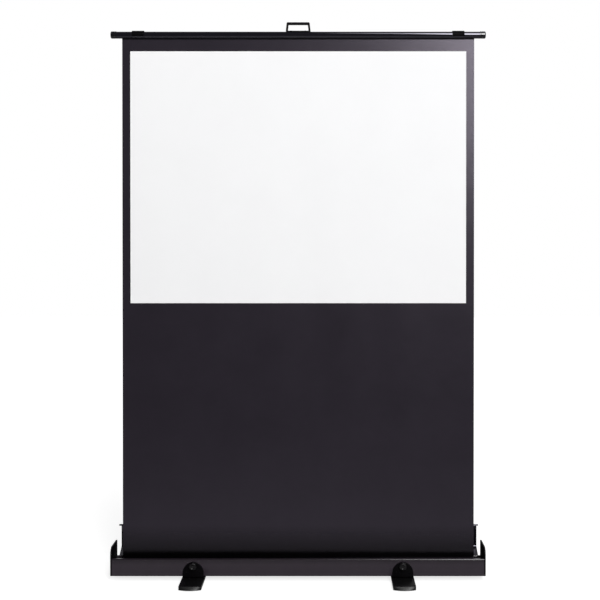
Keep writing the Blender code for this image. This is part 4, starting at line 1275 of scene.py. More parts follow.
@dataclass
class Roller(Assembly):
    """The sprung roller in the case, with its brackets and the turns of fabric left on it."""

    at: Point = (-0.0245, 0.0465)  # the axis in Y and Z
    radius: float = 0.019
    bore: float = 0.0178  # radius
    half: float = FABRIC_WIDTH / 2 + 0.0085  # of the tube's length
    edge: float = 0.0003  # chamfer at the tube's ends
    plug_depth: float = 0.020  # inside the tube
    flange: Point = (0.006, 0.0008)  # a plug's flange and its chamfer
    journal: Point = (0.004, 0.0004)  # radius of journal and fixed shaft, and the tip's chamfer
    bracket_x: float = CASE_LENGTH / 2 - 0.0118
    bracket: Place = (0.018, 0.016, 0.003)  # half width, rise over the axis and sheet
    bush: Place = (0.0088, 0.0068, 0.002)  # flange radius, radius and flange thickness
    bush_bore: float = 0.0071  # in the left bracket
    arbor: Point = (0.0065, 0.150)  # radius and length of the shaft's thick end
    coils: tuple[int, float] = (8, 0.011)  # the spring's turns and their pitch
    coil: Point = (0.0081, 0.001)  # radius of the spring and of its wire
    cloth: float = 0.0004  # the fabric's thickness
    wrap_rise: float = 0.0006  # how far the turn of fabric rises by its end
    wrap_steps: int = 96

    @property
    def centre(self) -> Place:
        """The middle of the roller's axis."""
        return (0, *self.at)

    def build(self) -> None:
        """Build the roller's pieces."""
        barrel = tube_profile(self.radius, self.bore, self.half, self.edge)
        tube = turned("roller_barrel", barrel, self.centre, Axis.RIGHT, ring=True)
        self.fit(tube, "roller", Look.BARE_TUBE, "roller_tube")
        big, fit, shaft = self.radius, self.bore - SEAT, self.journal[0]
        deep, face = self.half - self.plug_depth, self.half + SEAT
        end, tip = face + self.flange[0], self.bracket_x + self.bracket[2] / 2
        edge, tip_edge = self.flange[1], self.journal[1]
        left = [(0, deep), (fit, deep), (fit, face), (big, face), (big, end - edge),
                (big - edge, end), (shaft, end), (shaft, tip - tip_edge), (shaft - tip_edge, tip),
                (0, tip)]
        plug = turned("roller_journal_left", left, self.centre, Axis.LEFT)
        self.fit(plug, "roller", Look.CAP_PLASTIC, "roller_plug_left")
        right = [(big, end), (big, face), (fit, face), (fit, deep),
                 (PIVOT_BORE, deep), (PIVOT_BORE, end)]
        plug = turned("roller_socket_right", right, self.centre, Axis.RIGHT, ring=True)
        self.fit(plug, "roller", Look.CAP_PLASTIC, "roller_plug_right")
        self.build_brackets()
        self.build_spring(deep, tip)
        self.build_wrap()

    def build_brackets(self) -> None:
        """A plate at each end of the roller, and the nylon bush on the left."""
        bores = {Side.LEFT: self.bush_bore, Side.RIGHT: PIVOT_BORE}
        wide, rise, sheet = self.bracket
        low = CASE_BOTTOM + CASE_WALL + SEAT - self.at[1]
        plate = [(-wide, low), (wide, low), *ellipse((0, 0), (wide, rise), 0, 180, steps=36)]
        for side in Side:
            outlines = [plate, circle((0, 0), bores[side])]
            at = (side.sign * self.bracket_x, *self.at)
            piece = extruded(f"roller_plate_{side.value}", outlines, sheet, at, Axis.RIGHT)
            self.fit(piece, "case", Look.ZINC_PLATE, f"roller_bracket_{side.value}")
        flange, big, thick = self.bush
        near, far = self.bracket_x - sheet / 2 - SEAT, self.bracket_x + sheet / 2
        ring = [(flange, near - thick), (flange, near), (big, near), (big, far), (PIVOT_BORE, far),
                (PIVOT_BORE, near - thick)]
        bush = turned("journal_bush", ring, self.centre, Axis.LEFT, ring=True)
        self.fit(bush, "case", Look.BEARING_NYLON, "roller_bush")

    def build_spring(self, deep: float, tip: float) -> None:
        """The fixed shaft and the spring wound on it.

        Args:
            deep: Where the right plug ends inside the tube, in X.
            tip: Where the shaft ends in the right bracket.
        """
        thin, (thick, run), shoulder = self.journal[0], self.arbor, deep - SEAT
        shaft = [(0, tip), (thin, tip), (thin, shoulder), (thick, shoulder),
                 (thick, shoulder - run), (0, shoulder - run)]
        arbor = turned("spring_arbor", shaft, self.centre, Axis.RIGHT)
        self.fit(arbor, "case", Look.ZINC_PLATE, "spring_shaft")
        (turns, pitch), (radius, wire) = self.coils, self.coil
        length = turns * pitch
        start = shoulder - SEAT - wire - length
        spring = Winding().bench.run("spring_coil", bpy.data.meshes.new("spring_coil"), {
            "Turns": float(turns), "Radius": radius, "Length": length, "Wire": wire,
            "Centre": (start, *self.at), "Finish": self.finishes.materials[Look.ZINC_PLATE]})
        tidy(spring.data)
        self.fit(spring, "case", Look.ZINC_PLATE, "roller_spring")

    def build_wrap(self) -> None:
        """The turn of fabric left on the roller, which ends going up at the back."""
        inner, count = self.radius + SEAT + self.cloth / 2, self.wrap_steps
        y, z = self.at
        path = []
        for i in range(count + 1):
            angle, radius = 2 * math.pi * (i / count - 1), inner + self.wrap_rise * i / count
            path.append((y + radius * math.cos(angle), z + radius * math.sin(angle), 0))
        turn = strip(path, self.cloth)
        wrap = extruded("fabric_wrap", [turn], FABRIC_WIDTH, (0, 0, 0), Axis.RIGHT)
        self.fit(wrap, "roller", Look.BLACK_CLOTH, "fabric_roll")


@dataclass
class Fabric(Assembly):
    """The standing fabric and its white viewing surface, with the slight waves of a hung sheet."""

    width: float = FABRIC_WIDTH
    top: float = 1.956  # height of its upper end in the bar
    thickness: float = 0.0004
    cells: tuple[int, int] = (72, 108)  # across and up
    view: Place = (1.215, 0.9960, 1.9070)  # the white area's width, bottom and top
    coating: float = 0.0002  # the white area's thickness
    view_cells: tuple[int, int] = (70, 54)  # across and up
    # Height, turns across, start and drift up the sheet.
    waves: tuple[tuple[float, ...], ...] = ((0.0006, 15.0, 0.6, 0.0), (0.0004, 29.0, -1.1, 1.5))
    curl: tuple[float, int] = (0.0004, 14)  # how far the side edges curl back, and how sharply

    def wave(self, x: float, z: float) -> float:
        """How far the sheet stands off its plane: waves that fade out at the bar and at the roller.

        Args:
            x: The place across.
            z: The height.

        Returns:
            The distance in Y.
        """
        share = (z - SHEET_LOW_Z) / (self.top - SHEET_LOW_Z)
        ease = math.sin(math.pi * min(1.0, max(0.0, share)))
        slack = sum(high * math.sin(turn * x + start + drift * z)
                    for high, turn, start, drift in self.waves)
        curl = -self.curl[0] * (abs(x) / (self.width / 2)) ** self.curl[1]
        return ease * (slack + curl)

    def sheet(
        self, name: str, width: float, low: float, high: float, y: float, thickness: float,
        cells: tuple[int, int],
    ) -> bpy.types.Object:
        """A thin closed sheet in X and Z that follows the wave.

        Args:
            name: The piece's name.
            width: Its width.
            low: Height of its lower edge.
            high: Height of its upper edge.
            y: Its middle plane.
            thickness: Its thickness.
            cells: How many cells it has across and up.

        Returns:
            The new object.
        """
        across, up = cells
        mesh = bpy.data.meshes.new(name)
        with opened(mesh) as work:
            xs = [width * (i / across - 0.5) for i in range(across + 1)]
            zs = [low + (high - low) * j / up for j in range(up + 1)]
            front, back = ([[
                work.verts.new((x, y + self.wave(x, z) + face * thickness / 2, z)) for x in xs]
                for z in zs] for face in (-1, 1))
            for j in range(up):
                for i in range(across):
                    m, n = j + 1, i + 1
                    work.faces.new((front[j][i], front[j][n], front[m][n], front[m][i]))
                    work.faces.new((back[j][n], back[j][i], back[m][i], back[m][n]))
            rim = [(0, i) for i in range(across)] + [(j, across) for j in range(up)]
            rim += [(up, i) for i in range(across, 0, -1)] + [(j, 0) for j in range(up, 0, -1)]
            for (j, i), (m, n) in zip(rim, rim[1:] + rim[:1]):
                work.faces.new((front[m][n], front[j][i], back[j][i], back[m][n]))
            bmesh.ops.recalc_face_normals(work, faces=work.faces)
        mesh.shade_smooth()
        mesh.set_sharp_from_angle(angle=math.radians(SOFT_SHARP))
        return add_object(name, mesh)

    def build(self) -> None:
        """Build the black sheet and the white surface on it."""
        black = self.sheet(
            "screen_fabric", self.width, SHEET_LOW_Z, self.top, BAR_Y, self.thickness, self.cells)
        y = BAR_Y - self.thickness / 2 - SEAT - self.coating / 2
        white = self.sheet("white_picture_area", *self.view, y, self.coating, self.view_cells)
        self.fit(black, "case", Look.BLACK_CLOTH, "screen_sheet")
        self.fit(white, "case", Look.WHITE_COATING, "viewing_surface")
        for piece, keep in ((black, FOLD_KEEP), (white, WHITE_KEEP)):
            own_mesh(piece)


@dataclass
class Arms(Assembly):
    """The two folding knee arms behind the fabric."""

    base_z: float = 0.046  # height of the base pivots
    top_z: float = 1.932  # height of the top pivots
    lean: float = 2.0  # degrees past straight
    width: float = 0.022
    edge: float = 0.0006  # rounding
    lug_reach: float = 0.028  # how far the lower arm's lug reaches past the knee
    lug: float = 0.0045  # rounding of the lug's corners
    stop: float = 0.003  # radius of the stop pin
    # Sheet, width, toe and bend of a base bracket.
    bracket: tuple[float, ...] = (0.003, 0.060, 0.024, 0.0035)
    # Half width, height and rounding of the shoulder below a bracket's ear.
    ear: Place = (0.030, 0.006, 0.003)
    rivets: Point = (0.020, 0.002)  # from the bracket's middle, across and towards its toe
    rivet: Point = (0.0036, 0.0016)  # radius and height of a head

    @property
    def reach(self) -> float:
        """An arm's length between its pivots."""
        return (self.top_z - self.base_z) / 2 / math.cos(math.radians(self.lean))

    @property
    def stop_offset(self) -> float:
        """How far inwards of the lower arm's centre line its stop pin stands."""
        swing = self.lug_reach * math.sin(math.radians(2 * self.lean))
        return self.width / 2 + swing + SEAT + self.stop

    def build(self) -> None:
        """Build both arms."""
        for side in Side:
            self.build_side(side)

    def build_side(self, side: Side) -> None:
        """One side's arms, base bracket, pins and washers.

        Args:
            side: The side that they stand on.
        """
        lower_y, upper_y = ARM_FRONTS[side]
        lean, sign = math.radians(self.lean), side.sign
        base = (sign * PIVOT_X, self.base_z)
        knee = (base[0] + sign * self.reach * math.sin(lean), base[1] + self.reach * math.cos(lean))
        body, turn = f"{side.value}_lower_arm", math.pi / 2 - sign * lean
        lower = self.lay(f"lower_link_{side.value}", self.lower_edge(sign), lower_y, base, turn)
        self.fit(lower, body, Look.ARM_COAT, f"lower_arm_{side.value}")
        half = self.width / 2
        edge = arc((0, 0), half, 90, 270) + arc((self.reach, 0), half, -90, 90)
        upper = self.lay(f"upper_link_{side.value}", edge, upper_y, knee, math.pi / 2 + sign * lean)
        self.fit(upper, f"{side.value}_upper_arm", Look.ARM_COAT, f"upper_arm_{side.value}")
        front, back = min(lower_y, upper_y), max(lower_y, upper_y) + ARM_SHEET
        self.pin(f"knee_pin_{side.value}", body, front, back, *knee)
        self.washer(f"knee_washer_{side.value}", body, front + ARM_SHEET, *knee)
        self.build_stop(side, lower_y, base, turn)
        self.build_base(side, lower_y, base)

    def lower_edge(self, sign: int) -> list[Point]:
        """The lower arm's outline along its own length, with the lug past its knee.

        Args:
            sign: -1 on the left and 1 on the right.

        Returns:
            The outline.
        """
        half, reach, stop, lug = self.width / 2, self.reach, self.stop_offset, self.lug
        end = reach + self.lug_reach
        edge = arc((0, 0), half, 90, 270) + rounded([
            (0, -half, 0), (reach - self.width, -half, self.width),
            (end - lug, -stop - lug, lug), (end + lug, -stop - lug, lug),
            (end + lug, lug - stop, lug), (reach + half, half, half), (0, half, 0),
        ], closed=False)[1:-1]
        return [(u, -sign * v) for u, v in edge]

    def lay(
        self, name: str, edge: list[Point], front: float, start: Point, turn: float,
    ) -> bpy.types.Object:
        """Lay an arm's outline from a pivot.

        Args:
            name: The piece's name.
            edge: The outline along the arm's own length.
            front: The arm's front face, in Y.
            start: The pivot in X and Z.
            turn: The arm's direction from +X, in radians.

        Returns:
            The arm.
        """
        holes = [circle((along, 0), PIVOT_BORE, BORE_FACETS) for along in (0, self.reach)]
        arm = extruded(name, [edge, *holes], ARM_SHEET, (0, 0, 0), Axis.FRONT)
        spot = Matrix.Translation((start[0], front + ARM_SHEET / 2, start[1]))
        arm.data.transform(spot @ Matrix.Rotation(-turn, 4, "Y"))
        soften(arm, self.edge, segments=2)
        return arm

    def build_stop(self, side: Side, front: float, base: Point, turn: float) -> None:
        """The stop pin on the lower arm's lug.

        Args:
            side: The side that it stands on.
            front: The lower arm's front face, in Y.
            base: The base pivot in X and Z.
            turn: The lower arm's direction from +X, in radians.
        """
        along, out = self.reach + self.lug_reach, side.sign * self.stop_offset
        x = base[0] + along * math.cos(turn) - out * math.sin(turn)
        z = base[1] + along * math.sin(turn) + out * math.cos(turn)
        half = (ARM_GAP + ARM_SHEET - 2 * SEAT) / 2
        y = front + ARM_SHEET + SEAT + half if side is Side.LEFT else front - SEAT - half
        rod = rod_profile(self.stop, half)
        piece = turned(f"stop_stub_{side.value}", rod, (x, y, z), Axis.FRONT, facets=BORE_FACETS)
        self.fit(piece, f"{side.value}_lower_arm", Look.ZINC_PLATE, f"knee_stop_{side.value}")

    def build_base(self, side: Side, front: float, base: Point) -> None:
        """The bent bracket on the case floor, its pin, its washer and its two rivets.

        Args:
            side: The side that it stands on.
            front: The lower arm's front face, in Y.
            base: The base pivot in X and Z.
        """
        sheet, width, toe, bend = self.bracket
        dx, shift = self.rivets
        if side is Side.LEFT:
            ear = front + ARM_SHEET + ARM_GAP + sheet / 2
            faces, washer = (front, ear + sheet / 2), front + ARM_SHEET
            end = ear + toe
        else:
            ear = front - ARM_GAP - sheet / 2
            faces, washer = (ear - sheet / 2, front + ARM_SHEET), ear + sheet / 2
            end, shift = ear - toe, -shift
        x, z = base
        low = CASE_BOTTOM + CASE_WALL + SEAT + sheet / 2
        path = [(ear, z + LUG_RADIUS, 0), (ear, low, bend), (end, low, 0)]
        bracket = extruded(
            f"arm_bracket_{side.value}", [strip(path, sheet)], width, (x, 0, 0), Axis.RIGHT)
        wide, rise, corner = self.ear
        shape = [(-width, 0, 0), (width, 0, 0), (width, low + rise, 0), (wide, low + rise, corner),
                 (LUG_RADIUS, z, 0)]
        left = [(-u, v) for u, v, _ in shape[:1:-1]]
        over = arc((0, z), LUG_RADIUS, 0, 180)[1:-1]
        trim(bracket, rounded(shape, closed=False) + over + left, x)
        bore(bracket, PIVOT_BORE, 4 * sheet, (x, ear, z), Axis.FRONT)
        tidy(bracket.data)
        self.fit(bracket, "case", Look.ZINC_PLATE, f"arm_base_{side.value}")
        self.pin(f"base_pin_{side.value}", "case", *faces, *base)
        self.washer(f"base_washer_{side.value}", "case", washer, *base)
        middle = (ear + end) / 2 + shift
        spots = [((x + way * dx, middle, low + sheet / 2), (0, 0, 1)) for way in (-1, 1)]
        self.fasteners.set(
            f"bracket_rivets_{side.value}", "case", Look.ZINC_PLATE, spots, self.rivet,
            seed=21, crossed=False)


@dataclass
class TopBar(Assembly):
    """The top bar with its hem rod, end plugs, arm clamps and carrying handle."""

    length: float = FABRIC_WIDTH + 0.040
    radius: float = 0.012
    wall: float = 0.002
    # Half widths of the slot, of the lips round it and of the tube's own edges.
    slot: Place = (0.0008, 0.0024, 0.0014)
    lip_drop: float = 0.0128  # how far the tube's own slot edges hang below its axis
    lip_low: float = 0.016  # how far the matt lips along the fabric hang below it
    rod: float = 0.0025  # radius of the hem rod
    # Radius, reach past the bar, depth in it and rounding.
    plug: tuple[float, ...] = (0.0131, 0.021, 0.014, 0.004)
    dimple: Place = (0.0045, 0.0055, 0.0006)  # radii and depth of the dimple in a plug's nose
    # Depth and place of the groove round a plug.
    groove: tuple[Point, ...] = ((0.0, 0.0062), (0.0005, 0.0056), (0.0005, 0.0046), (0.0, 0.0040))
    rim: Point = (0.0003, 0.0006)  # chamfer of a plug where it meets the bar
    # Place along the plug, turn down in degrees and sink.
    plug_screw: Place = (0.0125, 24.0, 0.0008)
    plug_head: Point = (0.0022, 0.0009)  # radius and height
    # Sheet, width, bend, and the degrees at which it starts round the bar.
    clamp: tuple[float, ...] = (0.0028, 0.043, 0.0035, 205.0)
    drop: float = 0.034  # how far the top pivots lie below the axis
    # Of a clamp: two below the axis, and its trim above it.
    shoulders: Place = (0.006, 0.019, 0.024)
    clamp_screws: Point = (0.015, 0.001)  # from the clamp's middle, and below the axis
    clamp_head: Point = (0.0026, 0.0012)  # radius and height
    # The handle's strap: thickness, width, bend and edge.
    strap: tuple[float, ...] = (0.0074, 0.012, 0.003, 0.0007)
    strap_seat: float = 0.0027  # height of the strap's foot over the bar
    grip: Place = (0.0085, 0.016, 0.0035)  # height, depth and edge
    grip_top: float = 0.033  # height over the bar
    halves: Point = (0.045, 0.04175)  # half widths of the handle at its foot and at its top
    leg_socket: float = 0.005  # how far the legs reach into the grip
    bed_length: float = 0.18  # length of the tool that beds the strap on the bar
    grip_ribs: tuple[int, float] = (9, 0.006)  # count and pitch
    rib: Place = (0.0011, 0.009, 0.0006)  # radius, length and depth inside the grip
    handle_screw_x: float = 0.026  # from the middle
    handle_head: Point = (0.0031, 0.0015)  # radius and height

    def build(self) -> None:
        """Build the bar's pieces."""
        self.build_tube()
        rod_z = BAR_Z - self.radius + self.wall + 2 * SEAT + self.rod
        profile = rod_profile(self.rod, FABRIC_WIDTH / 2)
        rod = turned("hem_bar", profile, (0, BAR_Y, rod_z), Axis.RIGHT, facets=STUD_FACETS)
        self.fit(rod, "top_bar", Look.ZINC_PLATE, "hem_rod")
        for side in Side:
            self.build_plug(side)
            self.build_clamp(side)
        self.build_handle()

    def build_tube(self) -> None:
        """The slotted tube, and the matt lips below its slot along the fabric."""
        inner, (slot, lip, nib) = self.radius - self.wall, self.slot
        lean_out = math.degrees(math.asin(lip / self.radius))
        lean_in = math.degrees(math.asin(slot / inner))
        section = arc((0, 0), self.radius, 270 + lean_out, 630 - lean_out)
        section += [(-nib, -self.lip_drop), (-slot, -self.lip_drop)]
        section += arc((0, 0), inner, 630 - lean_in, 270 + lean_in)
        section += [(slot, -self.lip_drop), (nib, -self.lip_drop)]
        bar = extruded("bar_tube", [section], self.length, (0, BAR_Y, BAR_Z), Axis.RIGHT)
        self.fit(bar, "top_bar", Look.BAR_LACQUER, "top_bar")
        high, low = -self.lip_drop - SEAT, -self.lip_low
        edges = [[(a, low), (b, low), (b, high), (a, high)]
                 for a, b in ((slot, lip), (-lip, -slot))]
        lips = extruded("slot_lips", edges, FABRIC_WIDTH, (0, BAR_Y, BAR_Z), Axis.RIGHT)
        self.fit(lips, "top_bar", Look.BRACKET_COAT)

    def build_plug(self, side: Side) -> None:
        """A round-nosed plug with a shallow groove and a set screw on its front.

        Args:
            side: The end that it closes.
        """
        (big, end, depth, nose), fit = self.plug, self.radius - self.wall - SEAT
        flat, brim, sink = self.dimple
        profile = [(0, end - sink), (flat, end - sink), (brim, end)]
        profile += [(big - nose + u, end - nose + v) for u, v in arc((0, 0), nose, 90, 0)]
        profile += [(big - deep, height) for deep, height in self.groove]
        profile += [(big, self.rim[1]), (big - self.rim[0], SEAT)]
        profile += [(fit, SEAT), (fit, -depth), (0, -depth)]
        axis, half = Axis.RIGHT if side is Side.RIGHT else Axis.LEFT, self.length / 2
        plug = turned(f"bar_end_{side.value}", profile, (side.sign * half, BAR_Y, BAR_Z), axis)
        self.fit(plug, "top_bar", Look.PLUG_PLASTIC, f"bar_plug_{side.value}")
        along, turn, sink = self.plug_screw
        way = Vector((0, -math.cos(math.radians(turn)), -math.sin(math.radians(turn))))
        spot = Vector((side.sign * (half + along), BAR_Y, BAR_Z)) + way * (big - sink)
        self.fasteners.set(
            f"plug_screw_{side.value}", "top_bar", Look.BRACKET_COAT, [(spot, way)], self.plug_head,
            seed=5)

    def build_clamp(self, side: Side) -> None:
        """A saddle over the bar with a tail behind it for the upper arm's pin.

        Args:
            side: The side that it stands on.
        """
        upper_y, x = ARM_FRONTS[side][1], side.sign * PIVOT_X
        sheet, width, bend, start = self.clamp
        high, low, above = self.shoulders
        drop, shoulder, waist = BAR_Z - self.drop, BAR_Z - high, BAR_Z - low
        ear, wrap = upper_y - ARM_GAP - sheet / 2, self.radius + SEAT + sheet / 2
        path = [(u, v, 0) for u, v in arc((BAR_Y, BAR_Z), wrap, start, 0)]
        path += [(BAR_Y + wrap, shoulder, bend), (ear, waist, bend), (ear, drop - LUG_RADIUS, 0)]
        clamp = extruded(
            f"arm_clamp_{side.value}", [strip(path, sheet)], width, (x, 0, 0), Axis.RIGHT)
        right = [(LUG_RADIUS, waist), (width, shoulder), (width, BAR_Z + above)]
        left = [(-u, v) for u, v in right[::-1]]
        trim(clamp, arc((0, drop), LUG_RADIUS, 180, 360) + right + left, x)
        bore(clamp, PIVOT_BORE, 4 * sheet, (x, ear, drop), Axis.FRONT)
        tidy(clamp.data)
        self.fit(clamp, "top_bar", Look.BRACKET_COAT, f"bar_clamp_{side.value}")
        self.pin(f"top_pin_{side.value}", "top_bar", ear - sheet / 2, upper_y + ARM_SHEET, x, drop)
        self.washer(f"top_washer_{side.value}", "top_bar", upper_y - ARM_GAP, x, drop)
        dx, below = self.clamp_screws
        back = BAR_Y + wrap + sheet / 2
        spots = [((x + way * dx, back, BAR_Z - below), (0, 1, 0)) for way in (-1, 1)]
        self.fasteners.set(
            f"clamp_screws_{side.value}", "top_bar", Look.BRACKET_COAT, spots, self.clamp_head,
            seed=31)

    def build_handle(self) -> None:
        """The carrying handle: a strap seated on the bar, and a soft grip with ribs under it."""
        crown = BAR_Z + self.radius
        (strap, width, bend, strap_edge), (high, depth, grip_edge) = self.strap, self.grip
        seat, low = crown + self.strap_seat - strap / 2, crown + self.grip_top - high
        foot, top = (half - strap / 2 for half in self.halves)
        leg_end = low + self.leg_socket - SEAT
        path = [(-top, leg_end, 0), (-foot, seat, bend), (foot, seat, bend), (top, leg_end, 0)]
        loop = extruded("handle_strap", [strip(path, strap)], width, (0, BAR_Y, 0), Axis.FRONT)
        bore(loop, self.radius + SEAT, self.bed_length, (0, BAR_Y, BAR_Z), Axis.RIGHT, FACETS)
        soften(loop, strap_edge)
        self.fit(loop, "top_bar", Look.CAP_PLASTIC, "handle_frame")
        half = self.halves[1]
        edge = rounded([(-half, low, high / 4), (half, low, high / 4),
                        (half, low + high, high / 2), (-half, low + high, high / 2)])
        grip = extruded("handle_bar", [edge], depth, (0, BAR_Y, 0), Axis.FRONT)
        soften(grip, grip_edge, segments=5)
        legs, room = strip(path, strap + 2 * SEAT), width + 2 * SEAT
        cut(grip, extruded("sockets", [legs], room, (0, BAR_Y, SEAT), Axis.FRONT))
        tidy(grip.data, CUT_SHARP)
        self.fit(grip, "top_bar", Look.CAP_PLASTIC, "handle_grip")
        (count, pitch), (radius, length, sink) = self.grip_ribs, self.rib
        start = (-pitch * (count - 1) / 2, BAR_Y, low + sink)
        self.ribs.row("grip_ribs", "top_bar", Look.CAP_PLASTIC, count, start, (pitch, 0, 0),
                      (radius, length), (math.pi / 2, 0, 0))
        seat = crown + self.strap_seat
        spots = [((way * self.handle_screw_x, BAR_Y, seat), (0, 0, 1)) for way in (-1, 1)]
        self.fasteners.set(
            "handle_screws", "top_bar", Look.BRACKET_COAT, spots, self.handle_head, seed=41)


@dataclass
class Feet(Assembly):
    """The saddles, swivelling feet with rubber pads, swivel pins and clamping knobs."""

    length: float = 0.3478
    width: float = 0.080
    top: float = 0.0144  # height of a foot's top
    low: float = 0.0022  # height of its underside
    toe: float = 0.0109  # depth of the arc at each toe
    toe_corner: float = 0.005
    slope: float = 0.0089  # how far the toe slopes out from its top to its underside
    foot_edge: float = 0.002  # rounding
    recess: Point = (0.0133, 0.0036)  # radius and depth, for the swivel pin's head
    saddle: tuple[float, ...] = (0.0035, 0.076, 0.003, 0.0007)  # sheet, width, bend and edge
    # Of a saddle's dome, rear and shoulder over its underside.
    rises: Place = (0.0563, 0.0373, 0.016)
    rivets: Point = (0.024, 0.034)  # from the saddle's middle, and their height
    rivet: Point = (0.0032, 0.0013)  # radius and height of a head
    pad: Place = (0.029, 0.017, 0.008)  # half width, half length and corner
    pad_y: float = 0.136  # from the swivel to a pad's middle
    pad_z: Point = (0.0027, 0.00215)  # thickness, and height of the middle
    pad_edge: float = 0.0004  # rounding
    pocket: float = 0.0016  # depth of the pocket that holds a pad
    pad_ribs: tuple[int, float] = (7, 0.0045)  # count and pitch
    rib: Place = (0.0009, 0.050, 0.0009)  # radius, length and height of the middle
    # Radius of the swivel pin, of its heads and of its upper head's top.
    bolt: Place = (0.006, 0.013, 0.012)
    bolt_head: Point = (0.003, 0.001)  # thickness, and the upper head's chamfer
    knob_deep: float = 0.0135
    # Radius, and distance from the knob's face.
    knob_face: tuple[Point, ...] = (
        (0, -0.0016), (0.0052, -0.0014), (0.0066, -0.0004), (0.0078, 0.0),
        (0.0106, 0.0), (0.0122, -0.0008), (0.0134, -0.0022), (0.014, -0.0042))
    # Radius, and height over the saddle.
    knob_back: tuple[Point, ...] = (
        (0.014, 0.0035), (0.0128, 0.0028), (0.0120, 0.0),
        (STUD_BORE, 0.0), (STUD_BORE, 0.0073), (0, 0.0073))
    # Count, depth, and the radius at which they start.
    flutes: tuple[int, float, float] = (8, 0.0017, 0.0100)
    stud: Place = (0.003, 0.007, 0.0004)  # radius, reach into the knob and chamfer

    KNOB_FACETS = 120
    QUARTERS = ((-1, -1), (1, -1), (1, 1), (-1, 1))

    def build(self) -> None:
        """Build both sides."""
        for side in Side:
            x = side.sign * FOOT_X
            self.build_saddle(side, x)
            self.build_foot(side, x)
            self.build_bolt(side, x)
            self.build_knob(side, x)

    def build_saddle(self, side: Side, x: float) -> None:
        """A bent bracket under the case with a domed plate up its front, riveted to the case.

        Args:
            side: The side that it stands on.
            x: Its middle.
        """
        (sheet, width, bend, edge), bottom = self.saddle, self.top + SEAT
        low = bottom + sheet / 2
        front, rear = CASE_FRONT_Y - SEAT - sheet / 2, CASE_REAR_Y + SEAT + sheet / 2
        crown, rear_top, shoulder = (bottom + rise for rise in self.rises)
        path = [(front, crown, 0), (front, low, bend), (rear, low, bend), (rear, rear_top, 0)]
        saddle = extruded(
            f"foot_bracket_{side.value}", [strip(path, sheet)], width, (x, 0, 0), Axis.RIGHT)
        half = (width - SEAT) / 2
        dome = ellipse((0, shoulder), (half, crown - shoulder), 0, 180, steps=48)
        trim(saddle, [(-half, 0), (half, 0), *dome], x)
        bore(saddle, SWIVEL_BORE, BORE_DEPTH, (x, 0, low), Axis.UP)
        bore(saddle, STUD_BORE, BORE_DEPTH, (x, front, KNOB_Z), Axis.FRONT, STUD_FACETS)
        soften(saddle, edge, segments=2)
        self.fit(saddle, "case", Look.BRACKET_COAT, f"foot_saddle_{side.value}")
        dx, z = self.rivets
        spots = [((x + way * dx, face + out * sheet / 2, z), (0, out, 0))
                 for face, out in ((front, -1), (rear, 1)) for way in (-1, 1)]
        self.fasteners.set(
            f"saddle_rivets_{side.value}", "case", Look.BRACKET_COAT, spots, self.rivet,
            seed=51, crossed=False)

    def outline(self) -> list[Point]:
        """A long plate with a shallow arc at each end.

        Returns:
            The foot's outline round its swivel.
        """
        half = self.width / 2
        radius = (half ** 2 + self.toe ** 2) / (2 * self.toe)
        sweep = math.degrees(math.asin(half / radius))
        end = arc((0, self.length / 2 - radius), radius, 90 - sweep, 90 + sweep)
        rims = (0, len(end) - 1)
        return rounded([(way * u, way * v, self.toe_corner if i in rims else 0.0)
                        for way in (1, -1) for i, (u, v) in enumerate(end)])

    def build_foot(self, side: Side, x: float) -> None:
        """A swivelling foot with sloped toes, and its two ribbed pads.

        Args:
            side: The side that it stands on.
            x: Its swivel.
        """
        body, straight = f"{side.value}_foot", self.length / 2 - self.slope
        outlines = [self.outline(), circle((0, 0), SWIVEL_BORE, BORE_FACETS)]
        high = self.top - self.low
        foot = extruded(f"foot_plate_{side.value}", outlines, high, (0, 0, 0), Axis.UP)
        for vertex in foot.data.vertices:
            if vertex.co.z > 0 and abs(vertex.co.y) > straight:
                vertex.co.y = math.copysign(straight, vertex.co.y)
        foot.data.transform(Matrix.Translation((x, 0, (self.top + self.low) / 2)))
        soften(foot, self.foot_edge, segments=4, angle=30.0)
        radius, depth = self.recess
        bore(foot, radius, 2 * depth, (x, 0, self.low), Axis.UP, FACETS)
        (thick, pad_z), (count, pitch), (rib, length, rib_z) = self.pad_z, self.pad_ribs, self.rib
        for end, way in (("front", -1), ("rear", 1)):
            y = way * self.pad_y
            room, edge = self.pad_outline(SEAT), self.pad_outline()
            cut(foot, extruded("pocket", [room], 2 * self.pocket, (x, y, self.low), Axis.UP))
            pad = extruded(f"sole_{side.value}_{end}", [edge], thick, (x, y, pad_z), Axis.UP)
            soften(pad, self.pad_edge, segments=2)
            self.fit(pad, body, Look.SOLE_RUBBER, f"foot_pad_{side.value}_{end}")
            start = (x, y - pitch * (count - 1) / 2, rib_z)
            self.ribs.row(
                f"sole_ribs_{side.value}_{end}", body, Look.SOLE_RUBBER, count, start,
                (0, pitch, 0), (rib, length), (0, math.pi / 2, 0))
        tidy(foot.data, CUT_SHARP)
        self.fit(foot, body, Look.FOOT_COAT, f"foot_{side.value}")

    def pad_outline(self, grow: float = 0.0) -> list[Point]:
        """A pad's rounded rectangle, grown by a margin."""
        wide, long, corner = (size + grow for size in self.pad)
        return rounded([(u * wide, v * long, corner) for u, v in self.QUARTERS])

    def build_bolt(self, side: Side, x: float) -> None:
        """The pin that holds the foot and the saddle to the case floor.

        Args:
            side: The side that it stands on.
            x: Its middle.
        """
        low, floor = self.low + SEAT, CASE_BOTTOM + CASE_WALL + SEAT
        (shank, head, crown), (thick, edge) = self.bolt, self.bolt_head
        top = floor + thick
        profile = [(0, top), (crown, top), (head, top - edge), (head, floor), (shank, floor),
                   (shank, low + thick), (head, low + thick), (head, low), (0, low)]
        piece = turned(f"swivel_bolt_{side.value}", profile, (x, 0, 0), Axis.UP)
        self.fit(piece, "case", Look.ZINC_PLATE, f"swivel_pin_{side.value}")

